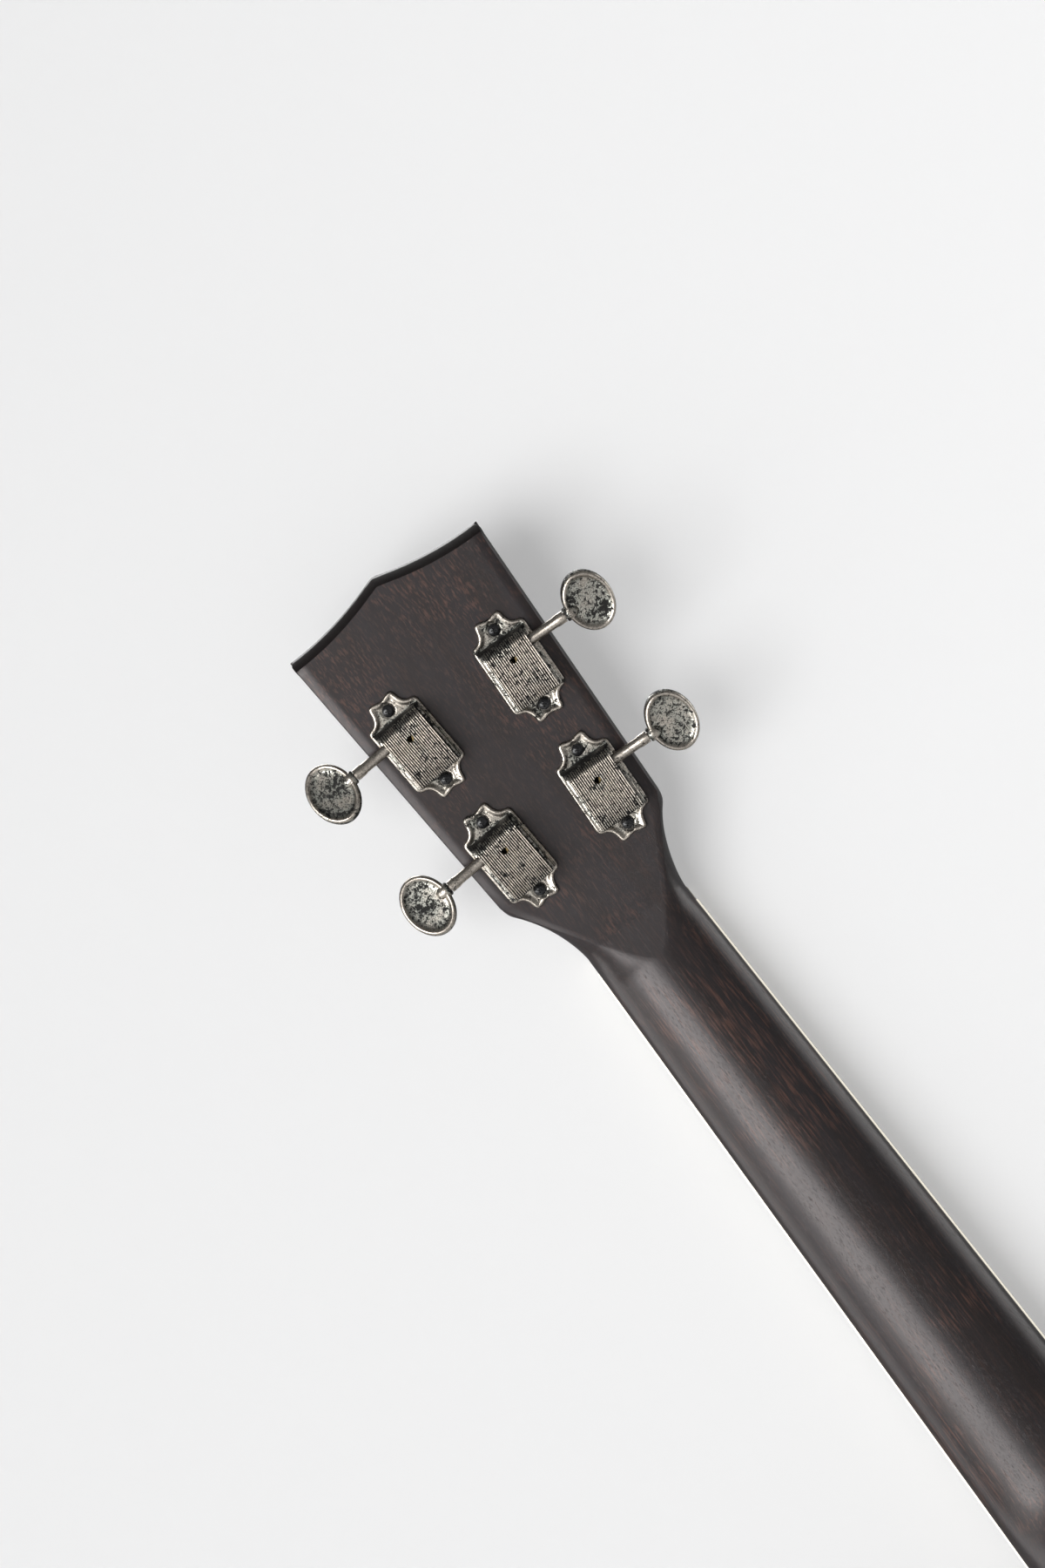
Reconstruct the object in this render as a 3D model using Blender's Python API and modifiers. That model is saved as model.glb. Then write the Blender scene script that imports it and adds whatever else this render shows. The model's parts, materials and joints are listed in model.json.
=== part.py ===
# A tenor resonator ukulele with a wooden body, hung upright by its headstock.
# It is modelled front face up, as on a bench: X across, Y up the neck, Z out of the front face.
# The bench origin is the nut line on the centreline, in the plane where the fingerboard is glued.
# The empty named hung_upright then turns the bench upright, with the front facing -Y.
# All sizes are in metres.

import math

import bmesh
import bpy
from mathutils import Matrix, Vector
from mathutils.geometry import interpolate_bezier

GAP = 0.0003                      # clearance between pieces that touch

# Neck and fingerboard
SCALE_LENGTH = 0.432              # nut to saddle
BODY_FRET = 14                    # the fret where neck and body meet
FRET_COUNT = 19
NUT_WIDTH = 0.038
NECK_WIDTH_AT_BODY = 0.048
NECK_DEPTH_AT_NUT = 0.0140
NECK_DEPTH_AT_HEEL = 0.0165
HEEL_LENGTH = 0.040
HEEL_DEPTH = 0.059
HEEL_CAP_HALF_WIDTH = 0.009
BACK_RIDGE_HALF_WIDTH = 0.0008    # half the flat along the middle of the neck's back
FINGERBOARD_THICKNESS = 0.0065
FINGERBOARD_OVERRUN = 0.004       # wood beyond the last fret
BINDING_WIDTH = 0.0015
FRET_WIDTH = 0.0020
FRET_HEIGHT = 0.0010
NUT_LENGTH = 0.0047
NUT_HEIGHT = 0.0092

# Headstock
HEAD_TILT = math.radians(11.5)
HEAD_THICKNESS = 0.012
HEADPLATE_THICKNESS = 0.0018
HEAD_CORNER_AT = 0.0304           # from the nut end to the lower corners, along the back
HEAD_CORNER_HALF_WIDTH = 0.0307
HEAD_CORNER_ROUND = 0.0054        # length of the corner's rounding, along the edge
HEAD_CORNER_DROP = 0.0018         # and across it
HEAD_TIP_AT = 0.1291              # to the two corners of the tip
HEAD_TIP_HALF_WIDTH = 0.0360
TIP_POINT_RISE = 0.0060           # how far the middle point stands above the tip's corners
TIP_HOLLOW = 0.00095              # depth of each hollow curve beside the point
TONGUE_END = -0.008               # where the flat of the headstock's back runs out on the neck

# Tuning machines, on the headstock's back
TUNER_LOWER_ROW = 0.0420
TUNER_UPPER_ROW = 0.0867
TUNER_LOWER_REACH = 0.0176        # centreline to the lower machines
TUNER_UPPER_REACH = 0.0196
TUNER_SPLAY = math.radians(2.9)
PLATE_HALF_LENGTH = 0.0180
PLATE_HALF_WIDTH = 0.0095
PLATE_STRAIGHT = 0.0112           # half the straight side
PLATE_THICKNESS = 0.0011
PLATE_SCREW_REACH = 0.0136
PLATE_DIP = 0.0013                # between the two lobes of an end
PLATE_LOBE_REACH = 0.0041         # centreline to a lobe's crown
PLATE_SCOOP_REACH = 0.0062        # centreline to the deepest point of a scoop's inner side
PLATE_SCOOP_DEPTH = 0.0036
LUG_THICKNESS = 0.0010
LUG_WIDTH = 0.0048
LUG_ABOVE_SHAFT = 0.0010
COVER_TIP_END = 0.0094
COVER_BODY_END = 0.0103
COVER_HEIGHT = 0.0090             # above the headstock
COVER_TOP_HALF_WIDTH = 0.00775
COVER_WALL = 0.0008
COVER_SIDE_HALF_WIDTH = 0.0083
COVER_END_ROUND = 0.0028          # the ribs run down over the tip end
COVER_SHOULDER = 0.0012           # the sides' top slopes in over this height
RIB_COUNT = 24
RIB_DEPTH = 0.00035
OIL_HOLE_AT = 0.0032
OIL_HOLE_RADIUS = 0.00115
WORM_AT = 0.0052                  # worm axis, from the plate's middle toward the tip
WORM_HEIGHT = 0.0049              # worm axis above the headstock
WHEEL_TEETH = 14
WORM_LEAD = 0.0022
WORM_PITCH_RADIUS = 0.0021
WORM_CORE_RADIUS = 0.00125
WORM_TIP_RADIUS = 0.00265
WORM_TURNS = 3
WORM_RUNOUT = 0.0004             # slope from the worm's core up to the shaft
WHEEL_TOOTH_REACH = 0.0005        # tooth tip beyond the pitch circle
WHEEL_TOOTH_DROP = 0.0009         # tooth root inside the pitch circle
WHEEL_THICKNESS = 0.0032
WHEEL_SEAT_STEP = 0.0005          # the post is this much thinner where the wheel sits
WHEEL_ROOT_HALF_WIDTH = 0.00055   # of a tooth
WHEEL_CREST_HALF_WIDTH = 0.00024
SHAFT_RADIUS = 0.0017
SHAFT_STUB_RADIUS = 0.0012
BUTTON_REACH = 0.0290             # plate's middle to the button's middle
BUTTON_HALF_LENGTH = 0.01025
BUTTON_HALF_WIDTH = 0.00775
BUTTON_RIM_HALF_THICKNESS = 0.0019
BUTTON_WEB_HALF_THICKNESS = 0.00085
BUTTON_BOSS_RADIUS = 0.0023
BUTTON_BOSS_LENGTH = 0.0011       # boss beyond the oval, toward the machine
BUTTON_STUB_DEPTH = 0.0040
POST_RADIUS = 0.0030
POST_WAIST_RADIUS = 0.0026
POST_RISE = 0.0105                # post in front of the headplate
POST_WAIST_START = 0.0019         # from the post's end
POST_WAIST_END = 0.0079
POST_CHAMFER = 0.0005
POST_RIVET_RISE = 0.0008
POST_RIVET_MARGIN = 0.0006
POST_FLANGE_MARGIN = 0.0010
STRING_HOLE_AT = 0.0032           # from the post's end
STRING_HOLE_RADIUS = 0.0007
FERRULE_BARREL_RADIUS = 0.0043
FERRULE_FLANGE_RADIUS = 0.00525
FERRULE_FLANGE = 0.0012
FERRULE_DEPTH = 0.0054
SCREW_HEAD_RADIUS = 0.00215
SCREW_HEAD_HEIGHT = 0.0017
SCREW_SHANK_RADIUS = 0.0011
SCREW_SHANK_LENGTH = 0.0095

# Body
SIDE_MARGIN = 0.0275              # soundwell to the lower bout's edge
TAIL_MARGIN = 0.0161              # soundwell to the body's tail
UPPER_BOUT_SHARE = 0.743          # of the lower bout's width
WAIST_SHARE = 0.604
UPPER_BOUT_PLACE = 0.206          # down the body from its neck end, as shares of its length
WAIST_PLACE = 0.414
LOWER_BOUT_PLACE = 0.685
HEEL_FLAT = 0.030                 # half the straight edge where the heel meets the body
SIDES_DEPTH = 0.060
SIDES_WALL = 0.0022
LINING_WIDTH = 0.0060
LINING_DEPTH = 0.0080
TOP_THICKNESS = 0.0028
BACK_THICKNESS = 0.0025
NECK_BLOCK_LENGTH = 0.022
NECK_BLOCK_HALF_WIDTH = 0.028
TAIL_BLOCK_CLEARANCE = 0.0013     # to the soundwell
TAIL_BLOCK_HALF_WIDTH = 0.024
SOUNDHOLE_RADIUS = 0.0130
SOUNDHOLE_REACH_SHARE = 0.582     # of the upper bout's half width
SOUNDHOLE_PLACE = 0.185           # down the body, as a share of its length
SCREEN_FLANGE = 0.0030
SCREEN_THICKNESS = 0.0012
SCREEN_WALL = 0.0010
SCREEN_HOLES = 8                  # in a ring round the middle one
SCREEN_HOLE_RADIUS = 0.0025

# Resonator
CONE_RADIUS = 0.0762
CONE_RISE = 0.0190
CONE_THICKNESS = 0.0006
CONE_SEAT_RADIUS = 0.024
CONE_RIM_WIDTH = 0.0062
LEDGE_DEPTH = 0.0220              # soundwell ledge below the top's face
LEDGE_WIDTH = 0.0070
SOUNDWELL_WALL = 0.0070
SOUNDWELL_FLOOR = 0.0060
WELL_SEAT_WIDTH = 0.0030          # how far the soundwell reaches under the top
CONE_STEPS = 32                   # facets round the resonator's pieces, which nest
COVERPLATE_OVERLAP = 0.0065       # beyond the soundwell
COVERPLATE_THICKNESS = 0.0008
COVERPLATE_RISE = 0.0065
COVERPLATE_FLAT = 0.034
COVERPLATE_BEND = 0.0045          # width of the bends above and below its slope
COVERPLATE_BEND_DROP = 0.0013
COVERPLATE_RIM = 0.0050
COVER_SLOTS = 12
COVER_SLOT_INNER_SHARE = 0.511    # of the coverplate's radius
COVER_SLOT_OUTER_SHARE = 0.833
COVER_SLOT_HALF_WIDTH = 0.0030
SADDLE_LENGTH = 0.043
SADDLE_THICKNESS = 0.0026
BISCUIT_RADIUS = 0.022
BISCUIT_THICKNESS = 0.0060
BISCUIT_BEVEL = 0.0010
BISCUIT_SLOT_DEPTH = 0.0033
SADDLE_OPENING_MARGIN = 0.0030
HANDREST_WIDTH = 0.024
HANDREST_THICKNESS = 0.0015
HANDREST_CLEARANCE = 0.0075       # above the strings
HANDREST_HALF_SPAN = 0.040
HANDREST_FOOT = 0.012
HANDREST_KNEE = 0.006             # length of the bend down to a foot
HANDREST_CROWN = 0.0012           # rise of its middle
TAILPIECE_WIDTH = 0.046
TAILPIECE_THICKNESS = 0.0012
TAILPIECE_HEIGHT = 0.0056
TAILPIECE_LENGTH = 0.031
TAILPIECE_LIP = 0.0060
TAILPIECE_BEND = 0.0022
TAILPIECE_DROP = 0.042
STRAP_BUTTON_DROP = 0.030
STRAP_BUTTON_RADIUS = 0.0070
STRAP_BUTTON_NECK = 0.0040
STRAP_BUTTON_FOOT = 0.0052
STRAP_BUTTON_LENGTH = 0.0115
STRAP_SHANK_RADIUS = 0.0026
STRAP_SHANK_LENGTH = 0.014
STRAP_SHANK_POINT = 0.002

# Strings
STRING_RADII = {"g": 0.00036, "c": 0.00045, "e": 0.00041, "a": 0.00033}
STRING_ORDER = ("g", "c", "e", "a")
STRING_SPACING_NUT = 0.0097
STRING_SPACING_SADDLE = 0.0120
STRING_SPACING_TAIL = 0.0110
STRING_HEIGHT_NUT = 0.0086
STRING_HEIGHT_SADDLE = 0.0134
STRING_HEIGHT_TAIL = 0.0087
STRING_END = 0.0028               # string beyond the tailpiece's lip
WINDING_TURNS = 2.5
WINDING_SPACE = 0.00045           # clear space between two turns
WINDING_START = 0.0062            # first turn in front of the headplate

SECTION_STEPS = 6                 # points along each shoulder of the neck's section
POST_AT = WORM_AT - WORM_PITCH_RADIUS - WORM_LEAD * WHEEL_TEETH / (2 * math.pi)
WHEEL_PITCH_RADIUS = WORM_LEAD * WHEEL_TEETH / (2 * math.pi)
HEAD_START = NUT_LENGTH + 2 * GAP
BODY_JOIN = SCALE_LENGTH * (1 - 2 ** (-BODY_FRET / 12))
BOARD_LENGTH = SCALE_LENGTH * (1 - 2 ** (-FRET_COUNT / 12)) + FINGERBOARD_OVERRUN
BOARD_TOP = GAP + FINGERBOARD_THICKNESS
HEADPLATE_BACK = HEAD_THICKNESS + GAP
HEADPLATE_FRONT = HEADPLATE_BACK + HEADPLATE_THICKNESS
PLATE_TOP = GAP + PLATE_THICKNESS
POST_BORE_RADIUS = POST_RADIUS + GAP
HEAD_BORE_RADIUS = FERRULE_BARREL_RADIUS + GAP
SIDES_TOP = -(TOP_THICKNESS + GAP)
SIDES_BOTTOM = SIDES_TOP - SIDES_DEPTH
CONE_RIM_BACK = -(LEDGE_DEPTH - GAP)
CONE_SEAT = CONE_RIM_BACK + CONE_THICKNESS + CONE_RISE
BISCUIT_TOP = CONE_SEAT + GAP + BISCUIT_THICKNESS
WELL_INNER_RADIUS = CONE_RADIUS + GAP
WELL_OUTER_RADIUS = WELL_INNER_RADIUS + SOUNDWELL_WALL
COVERPLATE_RADIUS = WELL_OUTER_RADIUS + COVERPLATE_OVERLAP
LOWER_BOUT = 2 * (WELL_OUTER_RADIUS + SIDE_MARGIN)
UPPER_BOUT = UPPER_BOUT_SHARE * LOWER_BOUT
WAIST = WAIST_SHARE * LOWER_BOUT
TAIL_AT = SCALE_LENGTH + WELL_OUTER_RADIUS + TAIL_MARGIN
BODY_LENGTH = TAIL_AT - BODY_JOIN
UPPER_BOUT_AT = UPPER_BOUT_PLACE * BODY_LENGTH
WAIST_AT = WAIST_PLACE * BODY_LENGTH
LOWER_BOUT_AT = LOWER_BOUT_PLACE * BODY_LENGTH
TAIL_BLOCK_END = SCALE_LENGTH + WELL_OUTER_RADIUS + TAIL_BLOCK_CLEARANCE
SOUNDHOLE_REACH = SOUNDHOLE_REACH_SHARE * UPPER_BOUT / 2
SOUNDHOLE_AT = BODY_JOIN + SOUNDHOLE_PLACE * BODY_LENGTH
COIL_STEPS = 8                    # straight runs in one turn of a winding
CUT_PAST = 0.001                  # how far a cutting shape reaches past the face that it opens

# Frames that carry a flat outline: its X, Y and extrusion directions on the bench
ACROSS_THE_NECK = Matrix.Rotation(math.pi / 2, 4, "X")
ALONG_THE_NECK = Matrix(((0, 0, 1, 0), (1, 0, 0, 0), (0, 1, 0, 0), (0, 0, 0, 1)))

FINISHES = {
    "dark_mahogany": ((0.052, 0.040, 0.038), 0.42, 0.0),
    "ebonised_board": ((0.022, 0.018, 0.017), 0.50, 0.0),
    "cream_binding": ((0.760, 0.710, 0.590), 0.35, 0.0),
    "bone": ((0.800, 0.760, 0.660), 0.35, 0.0),
    "pale_wood": ((0.520, 0.360, 0.220), 0.60, 0.0),
    "maple": ((0.620, 0.470, 0.310), 0.50, 0.0),
    "aged_nickel": ((0.420, 0.380, 0.330), 0.38, 1.0),
    "black_steel": ((0.020, 0.020, 0.022), 0.30, 1.0),
    "worm_steel": ((0.300, 0.290, 0.270), 0.40, 1.0),
    "brass": ((0.600, 0.430, 0.180), 0.35, 1.0),
    "spun_aluminium": ((0.700, 0.700, 0.700), 0.35, 1.0),
    "clear_string": ((0.780, 0.760, 0.720), 0.25, 0.0),
}


# Scene, collections and materials

for old in list(bpy.data.objects):
    bpy.data.objects.remove(old, do_unlink=True)


def new_collection(name):
    collection = bpy.data.collections.new(name)
    bpy.context.scene.collection.children.link(collection)
    return collection


parts = new_collection("resonator_ukulele")
cutters = new_collection("cutters")


def make_material(name):
    colour, roughness, metallic = FINISHES[name]
    material = bpy.data.materials.new(name)
    material.use_nodes = True
    shader = material.node_tree.nodes["Principled BSDF"]
    shader.inputs["Base Color"].default_value = (*colour, 1)
    shader.inputs["Roughness"].default_value = roughness
    shader.inputs["Metallic"].default_value = metallic
    material.diffuse_color = (*colour, 1)
    return material


materials = {name: make_material(name) for name in FINISHES}


def add_empty(name, parent=None, matrix=None):
    empty = bpy.data.objects.new(name, None)
    empty.empty_display_size = 0.01
    parts.objects.link(empty)
    empty.parent = parent
    empty.matrix_basis = matrix or Matrix()
    return empty


def add_part(name, data, finish, parent, matrix=None):
    part = bpy.data.objects.new(name, data)
    parts.objects.link(part)
    part.parent = parent
    part.matrix_basis = matrix or Matrix()
    data.materials.append(materials[finish])
    return part


def add_boolean(part, name, data, operation, matrix=None, parent=None):
    """A hidden shape, in its part's parent frame, and the Boolean that cuts it away or joins it."""
    tool = bpy.data.objects.new(name, data)
    cutters.objects.link(tool)
    tool.parent = parent or part.parent
    tool.matrix_basis = matrix or Matrix()
    tool.hide_render = True
    tool.display_type = "WIRE"
    boolean = part.modifiers.new(name, "BOOLEAN")
    boolean.operation = operation
    boolean.solver = "EXACT"
    boolean.object = tool
    return tool


# Shapes

def finished_mesh(name, shape):
    bmesh.ops.recalc_face_normals(shape, faces=shape.faces)
    mesh = bpy.data.meshes.new(name)
    shape.to_mesh(mesh)
    shape.free()
    return mesh


def loft(name, rings, closed=False):
    """Rings of points skinned in order, with flat ends, or joined end to start where closed."""
    shape = bmesh.new()
    loops = [[shape.verts.new(point) for point in ring] for ring in rings]
    pairs = list(zip(loops, loops[1:]))
    if closed:
        pairs.append((loops[-1], loops[0]))
    for lower, upper in pairs:
        for i in range(len(lower)):
            j = (i + 1) % len(lower)
            shape.faces.new((lower[i], lower[j], upper[j], upper[i]))
    if not closed:
        shape.faces.new(loops[0])
        shape.faces.new(loops[-1])
    return finished_mesh(name, shape)


def slab(name, outlines, bottom, top):
    """A flat outline, with any holes as further outlines, between two heights."""
    curve = bpy.data.curves.new(name, "CURVE")
    curve.dimensions = "2D"
    curve.fill_mode = "BOTH"
    curve.extrude = (top - bottom) / 2
    for outline in outlines:
        spline = curve.splines.new("POLY")
        spline.points.add(len(outline) - 1)
        for point, (x, y) in zip(spline.points, outline):
            point.co = (x, y, 0, 1)
        spline.use_cyclic_u = True
    holder = bpy.data.objects.new(name, curve)
    cutters.objects.link(holder)
    bpy.context.view_layer.update()
    flat = bpy.data.meshes.new_from_object(holder.evaluated_get(bpy.context.evaluated_depsgraph_get()))
    bpy.data.objects.remove(holder)
    shape = bmesh.new()
    shape.from_mesh(flat)
    bmesh.ops.remove_doubles(shape, verts=shape.verts, dist=0.00001)
    bmesh.ops.translate(shape, verts=shape.verts, vec=(0, 0, (top + bottom) / 2))
    return finished_mesh(name, shape)


def boxes(name, corners):
    """One mesh of separate boxes, each given by its lowest and highest corner."""
    shape = bmesh.new()
    for low, high in corners:
        low, high = Vector(low), Vector(high)
        place = Matrix.Translation((low + high) / 2) @ Matrix.Diagonal((*(high - low), 1))
        bmesh.ops.create_cube(shape, size=1, matrix=place)
    return finished_mesh(name, shape)


def rods(name, axes, sides):
    """One mesh of separate rods, each given by its two ends and its radius."""
    shape = bmesh.new()
    for start, end, radius in axes:
        start, end = Vector(start), Vector(end)
        turn = (end - start).to_track_quat("Z", "Y").to_matrix().to_4x4()
        place = Matrix.Translation((start + end) / 2) @ turn
        bmesh.ops.create_cone(shape, cap_ends=True, segments=sides, radius1=radius, radius2=radius,
                              depth=(end - start).length, matrix=place)
    return finished_mesh(name, shape)


def turned(name, profile, steps, finish, parent, matrix=None, axis="Z", ring=False):
    """A profile of (radius, height) from top to bottom down the outer side, turned about an axis."""
    mesh = bpy.data.meshes.new(name)
    if axis == "Z":
        points = [(radius, 0, height) for radius, height in profile]
    else:
        points = [(height, radius, 0) for radius, height in profile]
    edges = [(i, i + 1) for i in range(len(profile) - 1)]
    if ring:
        edges.append((len(profile) - 1, 0))
    mesh.from_pydata(points, edges, [])
    part = add_part(name, mesh, finish, parent, matrix)
    screw = part.modifiers.new("turning", "SCREW")
    screw.axis = axis
    screw.steps = steps
    screw.render_steps = steps
    screw.use_merge_vertices = True
    screw.merge_threshold = 0.00001
    screw.use_smooth_shade = True
    return part


def arc(start, end, bow, steps):
    """Points of a circular arc from start to end, bowed to the left of the way by bow."""
    start, end = Vector(start), Vector(end)
    half = (end - start).length / 2
    radius = (half * half + bow * bow) / (2 * bow)
    left = Vector((start.y - end.y, end.x - start.x)).normalized()
    middle = (start + end) / 2 + left * (bow - radius)
    sweep = 2 * math.asin(half / abs(radius)) * (-1 if radius > 0 else 1)
    return [tuple(middle + Matrix.Rotation(sweep * i / steps, 2) @ (start - middle)) for i in range(steps + 1)]


def circle(x, y, radius, sides, turn=0.0):
    angles = [turn + 2 * math.pi * i / sides for i in range(sides)]
    return [(x + radius * math.cos(a), y + radius * math.sin(a)) for a in angles]


def bezier(start, handle_1, handle_2, end, count):
    """Points along one Bezier span, without its last one."""
    corners = [Vector((x, y, 0)) for x, y in (start, handle_1, handle_2, end)]
    return [(point.x, point.y) for point in interpolate_bezier(*corners, count + 1)][:-1]


def strip(path, thickness):
    """The outline of a bent strip that follows a path, with the path on its middle."""
    points = [Vector(point) for point in path]
    sides = ([], [])
    for i, point in enumerate(points):
        before = points[max(i - 1, 0)]
        after = points[min(i + 1, len(points) - 1)]
        way_in = (point - before).normalized() if i else (after - point).normalized()
        way_out = (after - point).normalized() if i < len(points) - 1 else way_in
        normal = Vector((-(way_in + way_out).y, (way_in + way_out).x)).normalized()
        reach = thickness / 2 / max(normal.dot(Vector((-way_in.y, way_in.x))), 0.5)
        sides[0].append(tuple(point + normal * reach))
        sides[1].append(tuple(point - normal * reach))
    return sides[0] + sides[1][::-1]


def smooth_round(part):
    """Rounded faces shade smooth, with the hard edges kept."""
    if part.type == "MESH" and part.data.polygons:
        part.data.shade_smooth()
        part.data.set_sharp_from_angle(angle=math.radians(35))


# Frames

hung_upright = add_empty("hung_upright", None, Matrix.Rotation(math.pi / 2, 4, "X"))
head_along = Vector((0, math.cos(HEAD_TILT), -math.sin(HEAD_TILT)))
head_out = Vector((0, -math.sin(HEAD_TILT), -math.cos(HEAD_TILT)))
head_origin = Vector((0, HEAD_START, 0)) + head_out * HEAD_THICKNESS
# On the headstock's back: X across, Y toward the tip, Z out of the back
head_matrix = Matrix.Translation(head_origin) @ Matrix((
    (-1, 0, 0, 0), (0, head_along.y, head_out.y, 0), (0, head_along.z, head_out.z, 0), (0, 0, 0, 1)))
head_back = add_empty("head_back", hung_upright, head_matrix)
cone_centre = add_empty("cone_centre", hung_upright, Matrix.Translation((0, -SCALE_LENGTH, 0)))


# Neck, fingerboard and nut

def neck_half_width(y):
    return NUT_WIDTH / 2 + (NECK_WIDTH_AT_BODY - NUT_WIDTH) / 2 * -y / BODY_JOIN


def head_side():
    """(distance along the headstock, half width) from the nut end to past the tip."""
    flare_start = (0, neck_half_width(HEAD_START))
    along, across = HEAD_CORNER_ROUND, HEAD_CORNER_DROP
    flare_end = (HEAD_CORNER_AT - along, HEAD_CORNER_HALF_WIDTH - across)
    corner = (HEAD_CORNER_AT, HEAD_CORNER_HALF_WIDTH)
    side = bezier(flare_start, (0.28 * flare_end[0], flare_start[1] + 0.22 * across),
                  (0.76 * flare_end[0], HEAD_CORNER_HALF_WIDTH - 4 * across), flare_end, 7)
    side += bezier(flare_end, (HEAD_CORNER_AT - 0.74 * along, HEAD_CORNER_HALF_WIDTH - 0.28 * across),
                   (HEAD_CORNER_AT - 0.44 * along, HEAD_CORNER_HALF_WIDTH - 0.06 * across), corner, 3)
    slope = (HEAD_TIP_HALF_WIDTH - HEAD_CORNER_HALF_WIDTH) / (HEAD_TIP_AT - HEAD_CORNER_AT)
    beyond = HEAD_TIP_AT + 2 * TIP_POINT_RISE
    side += [corner, (HEAD_TIP_AT, HEAD_TIP_HALF_WIDTH)]
    return side, (beyond, HEAD_TIP_HALF_WIDTH + slope * (beyond - HEAD_TIP_AT))


def tip_curve():
    """The headstock's tip: two hollow curves that meet in a blunt point."""
    left = (-HEAD_TIP_HALF_WIDTH, HEAD_TIP_AT)
    point = (0, HEAD_TIP_AT + TIP_POINT_RISE)
    right = (HEAD_TIP_HALF_WIDTH, HEAD_TIP_AT)
    return arc(left, point, -TIP_HOLLOW, 5)[:-1] + arc(point, right, -TIP_HOLLOW, 5)


def neck_ring(front, inward, half_width, depth, flat, fullness):
    """One section: front edges, two shoulders and the flat between them at the back."""
    ring = []
    for side in (-1, 1):
        shoulder = []
        for i in range(SECTION_STEPS + 1):
            angle = math.pi / 2 * i / SECTION_STEPS
            across = flat + (half_width - flat) * max(math.cos(angle), 0) ** (2 / fullness)
            down = depth * math.sin(angle) ** (2 / fullness)
            shoulder.append(front + Vector((side * across, 0, 0)) + inward * down)
        ring += shoulder if side == -1 else shoulder[::-1]
    return ring


def head_rings():
    side, beyond = head_side()
    full_flat = HEAD_CORNER_HALF_WIDTH - BACK_RIDGE_HALF_WIDTH
    rings = []
    for distance, half_width in side[:-1] + [beyond]:
        front = Vector((0, HEAD_START, 0)) + head_along * distance
        share = min(distance / HEAD_CORNER_AT, 1)
        ease = share * share * (3 - 2 * share)
        tilt = HEAD_TILT * ease
        inward = Vector((0, -math.sin(tilt), -math.cos(tilt)))
        depth = NECK_DEPTH_AT_NUT + (HEAD_THICKNESS - NECK_DEPTH_AT_NUT) * ease
        if share < 1:
            flat = tongue_half_width(front.y, full_flat)
        else:
            flat = half_width - BACK_RIDGE_HALF_WIDTH
        rings.append(neck_ring(front, inward, half_width, depth, flat, 2))
    return rings


def tongue_half_width(y, full_flat):
    """The flat of the headstock's back narrows to a tongue that runs out on the neck."""
    reach = HEAD_START + HEAD_CORNER_AT
    share = max(0, (y - TONGUE_END) / (reach - TONGUE_END))
    return BACK_RIDGE_HALF_WIDTH + (full_flat - BACK_RIDGE_HALF_WIDTH) * share ** 0.8


def shaft_rings():
    """From the heel's end up to the nut line."""
    heel_end = BODY_JOIN - GAP
    heel_start = heel_end - HEEL_LENGTH
    inward = Vector((0, 0, -1))
    full_flat = HEAD_CORNER_HALF_WIDTH - BACK_RIDGE_HALF_WIDTH
    rings = []
    for i in range(8, 0, -1):
        swing = math.pi / 2 * i / 8
        y = -(heel_start + HEEL_LENGTH * math.sin(swing))
        rise = 1 - math.cos(swing)
        depth = NECK_DEPTH_AT_HEEL + (HEEL_DEPTH - NECK_DEPTH_AT_HEEL) * rise
        flat = BACK_RIDGE_HALF_WIDTH + (HEEL_CAP_HALF_WIDTH - BACK_RIDGE_HALF_WIDTH) * rise
        rings.append(neck_ring(Vector((0, y, 0)), inward, neck_half_width(y), depth, flat, 2 - 0.6 * rise))
    stations = [-heel_start, -0.6 * heel_start, -0.25 * heel_start]
    stations += [share * TONGUE_END for share in (3.75, 2.25, 1, 0.5, 0)]
    for y in stations:
        depth = NECK_DEPTH_AT_NUT + (NECK_DEPTH_AT_HEEL - NECK_DEPTH_AT_NUT) * -y / heel_start
        flat = tongue_half_width(y, full_flat)
        rings.append(neck_ring(Vector((0, y, 0)), inward, neck_half_width(y), depth, flat, 2))
    return rings


def tuner_places():
    """Each string's machine: middle on the headstock's back, which side it is on, and its frame."""
    places = {}
    for string, side, row, reach in (("g", 1, TUNER_LOWER_ROW, TUNER_LOWER_REACH),
                                     ("c", 1, TUNER_UPPER_ROW, TUNER_UPPER_REACH),
                                     ("e", -1, TUNER_UPPER_ROW, TUNER_UPPER_REACH),
                                     ("a", -1, TUNER_LOWER_ROW, TUNER_LOWER_REACH)):
        turn = Matrix.Rotation(-side * TUNER_SPLAY, 4, "Z")
        places[string] = (side, Matrix.Translation((side * reach, row, 0)) @ turn)
    return places


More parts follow.
